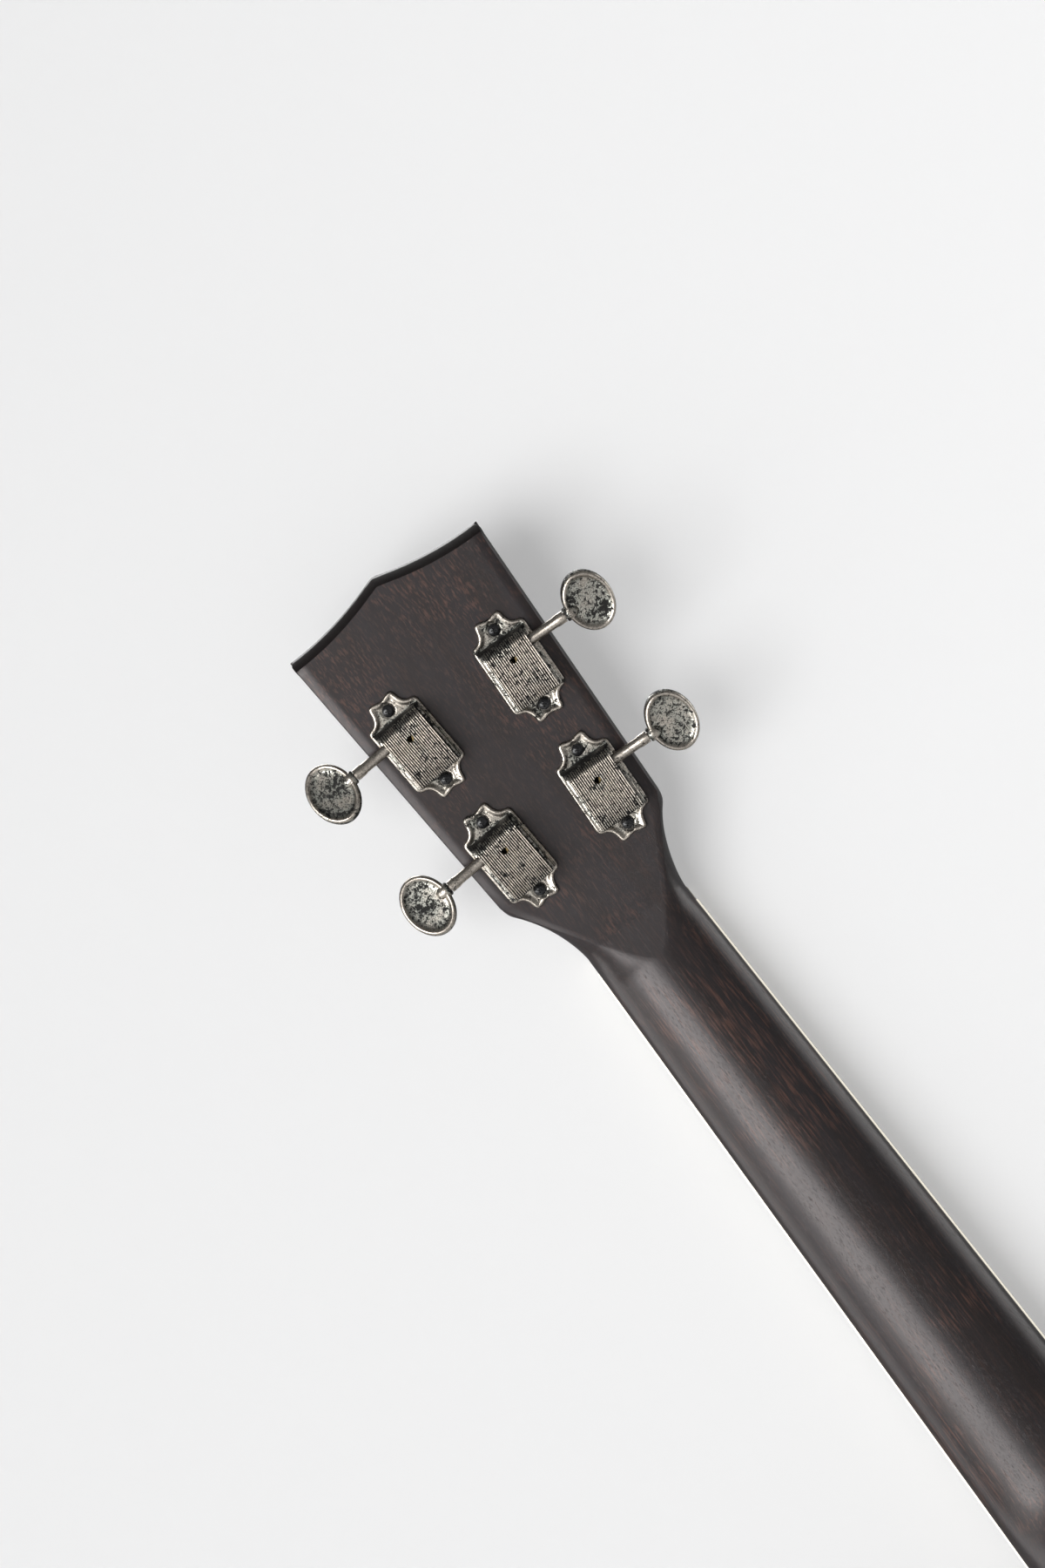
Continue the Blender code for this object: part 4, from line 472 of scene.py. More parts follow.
# Fine speckle and slow shading for the plainer stuffs
def makePlain(name, key, values):
    material, tree, shader = newFinish(name)
    colour = finish[key]
    place = addNode(tree, "ShaderNodeTexCoord").outputs["Object"]
    speck = noise(tree, place, values["speck"], 3.0)
    slow = noise(tree, place, values["slow"], 2.0)
    darker = tuple(c * values["depth"] for c in colour)
    shade = mixColour(tree, ramp(tree, slow, 0.35, 0.70), colour, darker)
    tree.links.new(mixColour(tree, ramp(tree, speck, 0.55, 0.80), shade, darker),
                   shader.inputs["Base Color"])
    tree.links.new(blend(tree, speck, *values["gloss"]), shader.inputs["Roughness"])
    addBump(tree, shader, speck, values["relief"], 0.3)
    shader.inputs["Metallic"].default_value = values.get("metal", 0.0)
    if "glow" in values:
        addPaintedGlow(tree, shader, colour, values["glow"])
    return material


woods = {      # name, then the finishes of its dark wood, its streaks and its deepest shade
    "mahogany": ("stainedMahogany", "mahoganyDark", "mahoganyRed", "mahoganyShade", {
        "width": 2900, "length": 200, "seed": 3.0, "streak": 0.65, "pore": 0.5, "end": 0.55,
        "gloss": (0.31, 0.42), "relief": 0.00004, "specular": 0.44}),
    "ebony": ("oiledEbony", "ebonyDark", "ebonyBrown", "ebonyDark", {
        "width": 1100, "length": 30, "seed": 9.0, "streak": 0.35, "pore": 0.6, "end": 1.0,
        "gloss": (0.42, 0.60), "relief": 0.00008, "specular": 0.45}),
    "maple": ("bareMaple", "maple", "spruce", "mapleShade", {
        "width": 700, "length": 60, "seed": 7.0, "streak": 0.4, "pore": 0.2, "end": 0.8,
        "gloss": (0.45, 0.55), "relief": 0.00005, "specular": 0.4}),
    "paleWood": ("bareLinden", "spruce", "maple", "spruceShade", {
        "width": 500, "length": 20, "seed": 5.0, "streak": 0.5, "pore": 0.3, "end": 0.8,
        "gloss": (0.60, 0.70), "relief": 0.00008, "specular": 0.3}),
}
platings = {
    "oldNickel": ("agedNickel", {
        "scale": 1.0, "amount": 0.30, "wear": 0.85, "stain": 0.60, "polish": 0.30, "relief": 0.00006}),
    "cleanNickel": ("agedNickelBody", {
        "scale": 0.55, "amount": -0.10, "wear": 0.45, "stain": 0.50, "polish": 0.26, "relief": 0.00004}),
}
plains = {
    "blackSteel": ("blackedSteel", "blackSteel", {
        "speck": 2600, "slow": 300, "depth": 0.5, "gloss": (0.10, 0.34), "relief": 0.00006}),
    # the cream's glow is painted light, so the binding's edge shows bright toward the back
    "cream": ("creamBinding", "cream", {
        "speck": 900, "slow": 40, "depth": 0.86, "gloss": (0.30, 0.42), "relief": 0.00002, "glow": 0.85}),
    "bone": ("polishedBone", "bone", {
        "speck": 1800, "slow": 120, "depth": 0.88, "gloss": (0.24, 0.38), "relief": 0.00002}),
    "brass": ("cutBrass", "brass", {
        "speck": 1200, "slow": 200, "depth": 0.7, "gloss": (0.28, 0.42), "relief": 0.00003, "metal": 1.0}),
    "aluminium": ("spunAluminium", "aluminium", {
        "speck": 900, "slow": 60, "depth": 0.85, "gloss": (0.30, 0.40), "relief": 0.00003, "metal": 1.0}),
    "string": ("stringNylon", "stringWhite", {
        "speck": 700, "slow": 60, "depth": 0.92, "gloss": (0.18, 0.28), "relief": 0.00001}),
}
finishes = {key: makeWood(*values) for key, values in woods.items()}
finishes.update({key: makePlating(*values) for key, values in platings.items()})
finishes.update({key: makePlain(*values) for key, values in plains.items()})

slotFinish = {
    "dark_mahogany": "mahogany", "ebonised_board": "ebony", "cream_binding": "cream", "bone": "bone",
    "pale_wood": "paleWood", "maple": "maple", "aged_nickel": "cleanNickel", "tuner_nickel": "oldNickel",
    "black_steel": "blackSteel", "worm_steel": "oldNickel", "brass": "brass", "spun_aluminium": "aluminium",
    "clear_string": "string",
}
nodeSlot = {row["node"]: row["material_slot"] for row in frame["record"]["subparts"]}
for name, node in nodes.items():
    node.data.materials.clear()
    node.data.materials.append(finishes[slotFinish[nodeSlot[name]]])
print("finishes made:", len(finishes))


# Shapes. The bench frame has X across, Y up the neck and Z out of the front; upright turns it to the scene.

gap = 0.0003                  # between pieces that touch
upright = Matrix.Rotation(math.pi / 2, 4, "X")
noTurn = Matrix.Identity(4)


def bezier(a, b, c, d, steps):
    points = interpolate_bezier(*[Vector((*p, 0)) for p in (a, b, c, d)], steps + 1)
    return [(p.x, p.y) for p in points[:-1]]


# Points of an arc round (x, y), both ends included; turns are whole turns, counted from +X
def arcPoints(radius, first, last, steps, x=0.0, y=0.0):
    angles = [2 * math.pi * (first + (last - first) * i / steps) for i in range(steps + 1)]
    return [(x + radius * math.cos(a), y + radius * math.sin(a)) for a in angles]


def ringPoints(radius, steps, x=0.0, y=0.0):
    return arcPoints(radius, 0, 1, steps, x, y)[:-1]


# Moves each point of an anticlockwise outline inward by its own distance
def inset(outline, distances):
    result = []
    for i, (x, y) in enumerate(outline):
        before, after = outline[i - 1], outline[(i + 1) % len(outline)]
        along = Vector((after[0] - before[0], after[1] - before[1])).normalized()
        result.append((x - along.y * distances[i], y + along.x * distances[i]))
    return result


# A new piece of the instrument from a bmesh in its own frame; place takes it to the scene
def addPiece(name, shape, surface, replaced=(), place=noTurn, sharp=35, body="instrument"):
    bmesh.ops.remove_doubles(shape, verts=shape.verts, dist=1e-7)
    bmesh.ops.recalc_face_normals(shape, faces=shape.faces)
    mesh = bpy.data.meshes.new(name)
    shape.transform(place)
    shape.to_mesh(mesh)
    shape.free()
    mesh.shade_smooth()
    mesh.set_sharp_from_angle(angle=math.radians(sharp))
    mesh.materials.append(finishes[surface])
    piece = bpy.data.objects.new(name, mesh)
    bpy.context.scene.collection.objects.link(piece)
    if replaced:
        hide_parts(*replaced)
    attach(piece, body)
    return piece


def shapeOf(*parts):
    shape = bmesh.new()
    for verts, faces in parts:
        made = [shape.verts.new(v) for v in verts]
        for face in faces:
            shape.faces.new([made[i] for i in face])
    return shape


# Rings of the same length joined in order, with a cap at each end or closed on itself
def loft(rings, closed=False, caps=True):
    count = len(rings[0])
    verts = [tuple(p) for ring in rings for p in ring]
    faces = []
    spans = len(rings) if closed else len(rings) - 1
    for i in range(spans):
        low, high = i * count, ((i + 1) % len(rings)) * count
        for j in range(count):
            k = (j + 1) % count
            faces.append((low + j, low + k, high + k, high + j))
    if caps and not closed:
        faces.append(tuple(range(count))[::-1])
        faces.append(tuple(range((len(rings) - 1) * count, len(rings) * count)))
    return verts, faces


# A profile of (radius, height) turned about Z; a radius of 0 closes to a point
def lathe(profile, steps, loop=False):
    verts, faces, rows = [], [], []
    for radius, height in profile:
        if radius < 1e-7:
            rows.append([len(verts)] * steps)
            verts.append((0, 0, height))
        else:
            rows.append(list(range(len(verts), len(verts) + steps)))
            verts += [(x, y, height) for x, y in ringPoints(radius, steps)]
    pairs = list(zip(rows, rows[1:])) + ([(rows[-1], rows[0])] if loop else [])
    for low, high in pairs:
        for j in range(steps):
            k = (j + 1) % steps
            face = list(dict.fromkeys((low[j], low[k], high[k], high[j])))
            if len(face) > 2:
                faces.append(tuple(face))
    return verts, faces


# A cylinder about Z, to cut with
def drill(radius, low, high, steps):
    return lathe([(0, low), (radius, low), (radius, high), (0, high)], steps)


# Points and faces moved by a matrix
def moved(part, place):
    verts, faces = part
    return [tuple(place @ Vector(v)) for v in verts], faces


# A smooth round tube along points
def tube(points, radius, steps=10):
    rings = []
    points = [Vector(p) for p in points]
    normal = None
    for i, point in enumerate(points):
        ahead = (points[min(i + 1, len(points) - 1)] - points[max(i - 1, 0)]).normalized()
        if normal is None:
            normal = ahead.orthogonal().normalized()
        normal = (normal - ahead * normal.dot(ahead)).normalized()
        side = ahead.cross(normal)
        rings.append([point + radius * (math.cos(a) * normal + math.sin(a) * side)
                      for a in (2 * math.pi * j / steps for j in range(steps))])
    return loft(rings)


# A flat outline with holes, as a plate between two heights, its edges rounded by bevel
def plate(outlines, low, high, bevel):
    shape = bmesh.new()
    loops = []
    for outline in outlines:
        made = [shape.verts.new((x, y, low)) for x, y in outline]
        loops.append([shape.edges.new((made[i], made[(i + 1) % len(made)])) for i in range(len(made))])
    bmesh.ops.triangle_fill(shape, use_beauty=True, use_dissolve=False,
                            edges=[e for loop in loops for e in loop])
    result = bmesh.ops.extrude_face_region(shape, geom=list(shape.faces))
    bmesh.ops.translate(shape, verts=[v for v in result["geom"] if isinstance(v, bmesh.types.BMVert)],
                        vec=(0, 0, high - low))
    bmesh.ops.recalc_face_normals(shape, faces=shape.faces)
    rims = [e for e in shape.edges if len(e.link_faces) == 2 and e.calc_face_angle() > 1.2]
    bmesh.ops.bevel(shape, geom=rims, offset=bevel, segments=2, affect="EDGES", profile=0.5,
                    clamp_overlap=True)
    return shape


# Cuts one shape out of a finished piece, or joins it on
def cutOut(piece, part, place, operation="DIFFERENCE"):
    mesh = bpy.data.meshes.new("cutter")
    shape = shapeOf(part)
    bmesh.ops.recalc_face_normals(shape, faces=shape.faces)
    shape.transform(place)
    shape.to_mesh(mesh)
    shape.free()
    cutter = bpy.data.objects.new("cutter", mesh)
    bpy.context.scene.collection.objects.link(cutter)
    modifier = piece.modifiers.new("cut", "BOOLEAN")
    modifier.object = cutter
    modifier.operation = operation
    modifier.solver = "EXACT"
    graph = bpy.context.evaluated_depsgraph_get()
    result = bpy.data.meshes.new_from_object(piece.evaluated_get(graph))
    piece.modifiers.clear()
    old = piece.data
    piece.data = result
    bpy.data.meshes.remove(old)
    bpy.data.objects.remove(cutter, do_unlink=True)
    bpy.data.meshes.remove(mesh)


def keepSharp(piece, degrees=50):
    piece.data.set_sharp_from_angle(angle=math.radians(degrees))


# Writes a value from 0 to 1 on each point, worked out from its place in the piece's own frame
def setShare(piece, label, place, shareAt):
    attribute = piece.data.attributes.new(label, "FLOAT", "POINT")
    back = place.inverted()
    for vertex, item in zip(piece.data.vertices, attribute.data):
        item.value = max(0.0, min(1.0, shareAt(back @ vertex.co)))


# How far each point is from an outline
def depthInside(points, outline):
    points = numpy.array(points)
    best = numpy.full(len(points), 1.0)
    for i in range(len(outline)):
        start = numpy.array(outline[i - 1])
        along = numpy.array(outline[i]) - start
        share = numpy.clip(((points - start) @ along) / (along @ along), 0, 1)
        best = numpy.minimum(best, numpy.hypot(*(points - start - share[:, None] * along).T))
    return best


# 0 at low and 1 at high, eased at both ends; low may be the larger
def easeBetween(value, low, high):
    share = max(0.0, min(1.0, (value - low) / (high - low)))
    return share * share * (3 - 2 * share)


# Neck and headstock, and the tuning machines' sizes, which the headstock's bores need too

neck = {
    "scaleLength": 0.432,
    "bodyFret": 14,
    "nutWidth": 0.038,
    "bodyWidth": 0.048,
    "nutDepth": 0.0140,
    "heelDepth": 0.0165,
    "heelLength": 0.040,
    "heelDrop": 0.059,
    "heelCap": 0.009,
    "headTilt": math.radians(11.5),
    "headThickness": 0.012,
    "cornerAt": 0.0304,
    "cornerHalfWidth": 0.0307,
    "cornerRound": 0.0054,
    "cornerDrop": 0.0018,
    "tipAt": 0.1291,
    "tipHalfWidth": 0.0360,
    "tipRise": 0.0060,
    "tipHollow": 0.0016,
    "tipBlunt": 0.0006,
    "ridge": 0.0008,
    "tongueEnd": -0.008,
    "shoulderSteps": 16,
    "acrossSteps": 20,
    "tipStrip": 0.0026,
    "tipStripDepth": 0.0040,
    "tipCorner": 0.0009,
    "boreRadius": 0.0046,
    "nutLength": 0.0047,
}
headStart = neck["nutLength"] + 2 * gap
bodyJoin = neck["scaleLength"] * (1 - 2 ** (-neck["bodyFret"] / 12))
headAlong = Vector((0, math.cos(neck["headTilt"]), -math.sin(neck["headTilt"])))
headOut = Vector((0, -math.sin(neck["headTilt"]), -math.cos(neck["headTilt"])))
headOrigin = Vector((0, headStart, 0)) + headOut * neck["headThickness"]
# On the headstock's back: X across, Y toward the tip, Z out of the back
headMatrix = Matrix.Translation(headOrigin) @ Matrix((
    (-1, 0, 0, 0), (0, headAlong.y, headOut.y, 0), (0, headAlong.z, headOut.z, 0), (0, 0, 0, 1)))
headToScene = upright @ headMatrix


def neckHalfWidth(y):
    return neck["nutWidth"] / 2 + (neck["bodyWidth"] - neck["nutWidth"]) / 2 * -y / bodyJoin


# (distance along the headstock, half width) up one side, to the lower corner
def headFlare():
    cornerAt, corner = neck["cornerAt"], neck["cornerHalfWidth"]
    start = (0, neckHalfWidth(headStart))
    end = (cornerAt - neck["cornerRound"], corner - neck["cornerDrop"])
    side = bezier(start, (0.007, start[1] + 0.0004), (cornerAt - 0.0114, corner - 0.0072), end, 20)
    return side + bezier(end, (cornerAt - 0.004, corner - 0.0005), (cornerAt - 0.0024, corner - 0.0001),
                         (cornerAt, corner), 6)


# The flat of the headstock's back narrows to a tongue that runs out on the neck
def tongueHalfWidth(y):
    full = neck["cornerHalfWidth"] - neck["ridge"]
    share = max(0, (y - neck["tongueEnd"]) / (headStart + neck["cornerAt"] - neck["tongueEnd"]))
    return neck["ridge"] + (full - neck["ridge"]) * share ** 0.8


# One section, from its front left edge over the back and round along its front
def neckSection(front, inward, halfWidth, depth, flat, fullness=2.0):
    sides = []
    for side in (-1, 1):
        shoulder = []
        for i in range(neck["shoulderSteps"] + 1):
            angle = math.pi / 2 * i / neck["shoulderSteps"]
            across = flat + (halfWidth - flat) * max(math.cos(angle), 0) ** (2 / fullness)
            down = inward * depth * math.sin(angle) ** (2 / fullness)
            shoulder.append(front + Vector((side * across, 0, 0)) + down)
        sides.append(shoulder)
    left, right = sides[0], sides[1][::-1]
    shares = [i / neck["acrossSteps"] for i in range(1, neck["acrossSteps"])]
    return (left + [left[-1].lerp(right[0], s) for s in shares] + right
            + [right[-1].lerp(left[0], s) for s in shares])


def shaftSections():
    heelEnd = bodyJoin - gap
    heelStart = heelEnd - neck["heelLength"]
    inward = Vector((0, 0, -1))
    rings = []
    heelSteps = 16
    for i in range(heelSteps, 0, -1):
        swing = math.pi / 2 * i / heelSteps
        y = -(heelStart + neck["heelLength"] * math.sin(swing))
        rise = 1 - math.cos(swing)
        depth = neck["heelDepth"] + (neck["heelDrop"] - neck["heelDepth"]) * rise
        flat = neck["ridge"] + (neck["heelCap"] - neck["ridge"]) * rise
        rings.append(neckSection(Vector((0, y, 0)), inward, neckHalfWidth(y), depth, flat, 2 - 0.6 * rise))
    stations = [-heelStart * s for s in (1, 0.9, 0.75, 0.6, 0.45, 0.3, 0.2)]
    stations += [-0.030, -0.024, -0.018, -0.014, -0.011, -0.008, -0.006, -0.004, -0.002, 0]
    for y in stations:
        depth = neck["nutDepth"] + (neck["heelDepth"] - neck["nutDepth"]) * -y / heelStart
        rings.append(neckSection(Vector((0, y, 0)), inward, neckHalfWidth(y), depth, tongueHalfWidth(y)))
    return rings


def flareSections():
    rings = []
    for distance, halfWidth in headFlare():
        front = Vector((0, headStart, 0)) + headAlong * distance
        share = min(distance / neck["cornerAt"], 1)
        ease = share * share * (3 - 2 * share)
        tilt = neck["headTilt"] * ease
        inward = Vector((0, -math.sin(tilt), -math.cos(tilt)))
        depth = neck["nutDepth"] + (neck["headThickness"] - neck["nutDepth"]) * ease
        rings.append(neckSection(front, inward, halfWidth, depth, tongueHalfWidth(front.y)))
    return rings


# Distance along the headstock of its end, in two hollow curves that meet in a blunt point
def tipReach(x):
    share = min(math.hypot(x, neck["tipBlunt"]) / neck["tipHalfWidth"], 1.0)
    return neck["tipAt"] + neck["tipRise"] * (1 - share) - 4 * neck["tipHollow"] * share * (1 - share)


# Half the headstock's width past the lower corners
def headHalfWidth(distance):
    slope = (neck["tipHalfWidth"] - neck["cornerHalfWidth"]) / (neck["tipAt"] - neck["cornerAt"])
    return neck["cornerHalfWidth"] + slope * (distance - neck["cornerAt"])


# A section past the lower corners, where share goes from 0 there to 1 at the tip's curve;
# its back is lifted toward the front, its end set back and its sides drawn in
def headSection(share, lift=0.0, short=0.0, narrow=0.0):
    cornerAt, thick = neck["cornerAt"], neck["headThickness"]
    half = headHalfWidth(cornerAt + share * (neck["tipAt"] - cornerAt))
    ring = []
    for x, _, down in neckSection(Vector((0, 0, 0)), Vector((0, 0, 1)), half, thick, half - neck["ridge"]):
        reach = cornerAt + share * (tipReach(x / half * neck["tipHalfWidth"]) - cornerAt) - short
        across = max(narrow - half, min(half - narrow, x))
        ring.append(Vector((across, headStart, 0)) + headAlong * reach + headOut * min(down, thick - lift))
    return ring


machine = {      # X out to the button, Y toward the tip, Z out of the headstock's back
    "lowerRow": (0.0420, 0.0176),       # distance along the headstock, and from its middle
    "upperRow": (0.0867, 0.0196),
    "splay": math.radians(2.9),
    "halfLength": 0.0180,
    "halfWidth": 0.0095,
    "plateTop": 0.0014,
    "rollTop": 0.0016,
    "rollWidth": 0.0006,
    "plateDish": 0.00055,
    "dishFrom": 0.0008,
    "dishTo": 0.0022,
    "plateGrid": 0.00032,
    "screwReach": 0.0136,
    "screwHole": 0.0014,
    "postHole": 0.0033,
    "dimpleRadius": 0.0028,
    "coverTip": 0.0104,
    "coverBody": 0.0110,
    "coverHeight": 0.0090,
    "ribZone": 0.00604,
    "ribs": 17,
    "ribDepth": 0.00045,
    "coverSide": 0.0084,
    "coverInside": 0.0066,
    "wall": 0.0007,
    "endSlope": 0.0040,
    "endDrop": 0.0066,
    "oilAt": 0.0032,
    "oilRadius": 0.00108,
    "wormAt": 0.0052,
    "wormHeight": 0.0049,
    "lead": 0.0022,
    "pitchRadius": 0.0021,
    "teeth": 14,
    "coreRadius": 0.00125,
    "crestRadius": 0.00265,
    "wormTurns": 3,
    "shaftRadius": 0.0017,
    "stubRadius": 0.0012,
    "stubDepth": 0.0040,
    "reach": 0.0290,
    "buttonHalfLength": 0.01025,
    "buttonHalfWidth": 0.00775,
    "rimThickness": 0.0019,
    "webThickness": 0.00085,
    "bossRadius": 0.0023,
    "postRadius": 0.0030,
    "waistRadius": 0.0026,
    "postEnd": -0.0246,
    "ferruleBarrel": 0.0043,
    "ferruleFlange": 0.00525,
    "screwRadius": 0.0020,
    "screwHeight": 0.0017,
    "screwShank": 0.0011,
    "screwLength": 0.0095,
    "slotLong": 0.00115,
    "slotWide": 0.00024,
    "seatRadius": 0.0022,
    "seatHalfLength": 0.0019,
    "ferruleFront": -0.0144,
    "stringHole": 0.0007,
    "shoulderDrop": 0.0011,
    "coverFoot": 0.0006,
    "restTurns": {"g": 8, "c": 14, "e": -20, "a": -12},
}


def machinePlaces():
    lower, upper = machine["lowerRow"], machine["upperRow"]
    places = {}
    for string, side, (row, reach) in (("g", 1, lower), ("c", 1, upper), ("e", -1, upper), ("a", -1, lower)):
        turn = Matrix.Rotation(-side * machine["splay"], 4, "Z")
        places[string] = (side, headToScene @ Matrix.Translation((side * reach, row, 0)) @ turn)
    return places


machines = machinePlaces()
sceneToHead = headToScene.inverted()
postAt = machine["wormAt"] - machine["pitchRadius"] - machine["lead"] * machine["teeth"] / (2 * math.pi)


# The sections from heel to tip; the last one's corners are drawn in, so the faces of its flat end are listed
# one by one
def makeNeck():
    rings = shaftSections() + flareSections()
    rings += [headSection(share) for share in (0, 0.1, 0.3, 0.6, 0.85, 0.95)]
    strip, depth = neck["tipStrip"], neck["tipStripDepth"]
    rings.append(headSection(1, 0, strip))
    for share in (0.015, 0.2, 0.4, 0.6, 0.8, 0.94, 1):
        bulge = share + 0.25 * share * (1 - share)
        rings.append(headSection(1, depth * share, strip * (1 - bulge), neck["tipCorner"] * share ** 2))
    verts, faces = loft(rings, caps=False)
    shoulder, across, size = neck["shoulderSteps"] + 1, neck["acrossSteps"], len(rings[0])
    faces.append(tuple(range(size))[::-1])
    end = list(range((len(rings) - 1) * size, len(rings) * size))
    back = end[shoulder - 1:shoulder + across]
    face = [end[0]] + end[:2 * shoulder + across - 2:-1] + [end[2 * shoulder + across - 2]]
    faces.append(tuple(end[:shoulder]))
    faces.append(tuple(end[shoulder + across - 1:2 * shoulder + across - 1]))
    faces += [(back[i], back[i + 1], face[i + 1], face[i]) for i in range(across)]
    piece = addPiece("neck_wood", shapeOf((verts, faces)), "mahogany", ("neck",),
                     upright, sharp=50)
    for _, place in machines.values():
        cutOut(piece, drill(neck["boreRadius"], -0.02, 0.01, 32), place @ Matrix.Translation((0, postAt, 0)))
    keepSharp(piece)

    def sawnAt(point):
        past = point.y - tipReach(point.x) + strip
        return 1.0 if past > -0.0004 and point.z < -0.00002 or past > 0.00002 else 0.0

    setShare(piece, "sawnEnd", headToScene, sawnAt)


makeNeck()
print("neck made")


# Tuning machines

# The scalloped edge: a shallow dip between two lobes at each end, and a scoop from each lobe to the side
def plateEdge():
    end, wide, fine = machine["halfLength"], machine["halfWidth"], 7
    corners = [((0, 0.0007), (0.0012, 0.0007), (0.0020, 0), (0.0034, 0)),
               ((0.0034, 0), (0.0047, 0), (0.0047, 0.0012), (0.0050, 0.0026)),
               ((0.0050, 0.0026), (0.0054, 0.0043), (0.0062, 0.0053), (0.0077, 0.0056)),
               ((0.0077, 0.0056), (0.0089, 0.0058), (wide, 0.0065), (wide, 0.0080))]
    quarter = []
    for corner in corners:
        quarter += bezier(*[(x, end - drop) for x, drop in corner], fine)
    half = quarter + [(wide, (end - 0.0080) * share) for share in (1, 0.75, 0.5, 0.25, 0)]
    half += [(x, -y) for x, y in half[-2::-1]]
    return half + [(-x, y) for x, y in half[-2:0:-1]]


# A stamped plate: its edge rolled over, its field dished, and a round seat under each screw
def plateHeight(x, y, depth):
    roll, dish = machine["rollWidth"], machine["plateDish"]
    rise = 1 - min(1.0, depth / roll)
    height = machine["rollTop"] - 0.0009 * (1 - math.sqrt(max(0.0, 1 - rise * rise)))
    height -= dish * easeBetween(depth, machine["dishFrom"], machine["dishTo"])
    away = math.hypot(x, abs(y) - machine["screwReach"])
    if away < machine["dimpleRadius"]:
        seat = machine["plateTop"] - 0.0005
        height = min(height, seat + 0.0004 * easeBetween(away, 0.0021, machine["dimpleRadius"]))
    return height


# Triangles over a fine grid inside the edge and round three holes, once for the top and once for the foot
def plateShape():
    edge = plateEdge()
    holes = [(0, end * machine["screwReach"], machine["screwHole"]) for end in (-1, 1)]
    holes.append((0, postAt, machine["postHole"]))
    loops = [edge] + [ringPoints(radius, 24, x, y) for x, y, radius in holes]
    step = machine["plateGrid"]
    wide, tall = int(machine["halfWidth"] / step) + 1, int(machine["halfLength"] / step)
    grid = [(i * step * 0.97 + 0.5 * (j % 2) * step, j * step)
            for j in range(-tall, tall + 1) for i in range(-wide, wide + 1)]
    away = numpy.min([depthInside(grid, loop) for loop in loops], axis=0)
    grid = [point for point, distance in zip(grid, away) if distance > 0.4 * step]
    flat, borders = [], []
    for loop in loops:
        first = len(flat)
        flat += loop
        borders.append([(first + i, first + (i + 1) % len(loop)) for i in range(len(loop))])
    rim = [point for depth in (0.00012, 0.00028) for point in inset(edge, [-depth] * len(edge))]
    verts, _, faces, origins, _, _ = delaunay_2d_cdt(
        [Vector(point) for point in flat + rim + grid], [pair for border in borders for pair in border],
        [[pair[0] for pair in border] for border in borders], 1, 1e-7)
    kept = []
    for face in faces:
        middle = sum((verts[i] for i in face), Vector((0, 0))) / 3
        if all(math.hypot(middle.x - x, middle.y - y) > radius * 0.99 for x, y, radius in holes):
            kept.append(tuple(face))
    depth = depthInside([tuple(v) for v in verts], edge)
    top = [(v.x, v.y, plateHeight(v.x, v.y, d)) for v, d in zip(verts, depth)]
    low = [(v.x, v.y, 0.0) for v in verts]
    size = len(top)
    place = {source: i for i, sources in enumerate(origins) for source in sources}
    faces = kept + [tuple(i + size for i in face[::-1]) for face in kept]
    for border in borders:
        for a, b in border:
            a, b = place[a], place[b]
            faces.append((a, a + size, b + size, b))
    return top + low, faces


stampedPlate = plateShape()


def makePlate(string, place):
    piece = addPiece(f"plate_{string}", shapeOf(stampedPlate), "oldNickel",
                     (f"tuner_plate_{string}",), place, sharp=50)

    # Share of patina and painted shade on the plate: a third over the dished field, where the green stain
    # gathers, three quarters next to the cover's ends, and full painted shade on the plate's outer sides
    def patinaAndShadeAt(point):
        field = (machine["rollTop"] - point.z) / machine["plateDish"]
        near = easeBetween(abs(point.y), machine["coverTip"] + 0.0016, machine["coverTip"] - 0.0002)
        byCover = 0.75 * near if abs(point.x) < machine["coverSide"] + 0.0004 else 0.0
        onSide = abs(point.x) > machine["halfWidth"] - 0.0002 and point.z < machine["rollTop"] - 0.0005
        return max(0.34 * min(1.0, field), byCover, 1.0 if onSide else 0.0)

    setShare(piece, "patinaAndShade", place, patinaAndShadeAt)


# Half of the cover's section, from its foot up the stepped side to the two raised lines beside the ribs
def coverSide():
    side, foot, ledge, top = machine["coverSide"], machine["coverFoot"], 0.0060, machine["coverHeight"]
    flank = [(side + 0.0005, foot), (side + 0.0005, foot + 0.0010), (side + 0.0003, foot + 0.0012),
             (side, foot + 0.0014), (side, foot + 0.0018), (side, ledge - 0.0006),
             (side - 0.0001, ledge - 0.0002), (side - 0.0003, ledge), (side - 0.0007, ledge),
             (side - 0.0009, ledge + 0.0002), (side - 0.0010, ledge + 0.0006)]
    ridges = [(0.0010, 0.0005), (0.00104, 0.0002), (0.00115, 0.00004), (0.00128, 0), (0.00141, 0.00006),
              (0.00152, 0.00022), (0.00157, 0.00048), (0.00163, 0.00048), (0.00168, 0.00022),
              (0.00178, 0.00006), (0.00192, 0), (0.00206, 0.00006), (0.00217, 0.00022), (0.00222, 0.00055)]
    return flank + [(side - inward, top - drop) for inward, drop in ridges]


def coverSection():
    crown, count, depth = machine["ribZone"], machine["ribs"], machine["ribDepth"]
    top = machine["coverHeight"] - 0.00005
    pitch = 2 * crown / count
    rib = ((0.14, 1), (0.28, 0.16), (0.40, 0), (0.60, 0), (0.72, 0.16), (0.86, 1))
    ribs = [(-crown + (i + share) * pitch, top - drop * depth) for i in range(count) for share, drop in rib]
    return [(-x, z) for x, z in coverSide()] + ribs + coverSide()[::-1]


# How far the cover's top has come down at an angle of its tip end
def coverFall(angle):
    return machine["endDrop"] * (1 - math.cos(angle)) ** 1.15


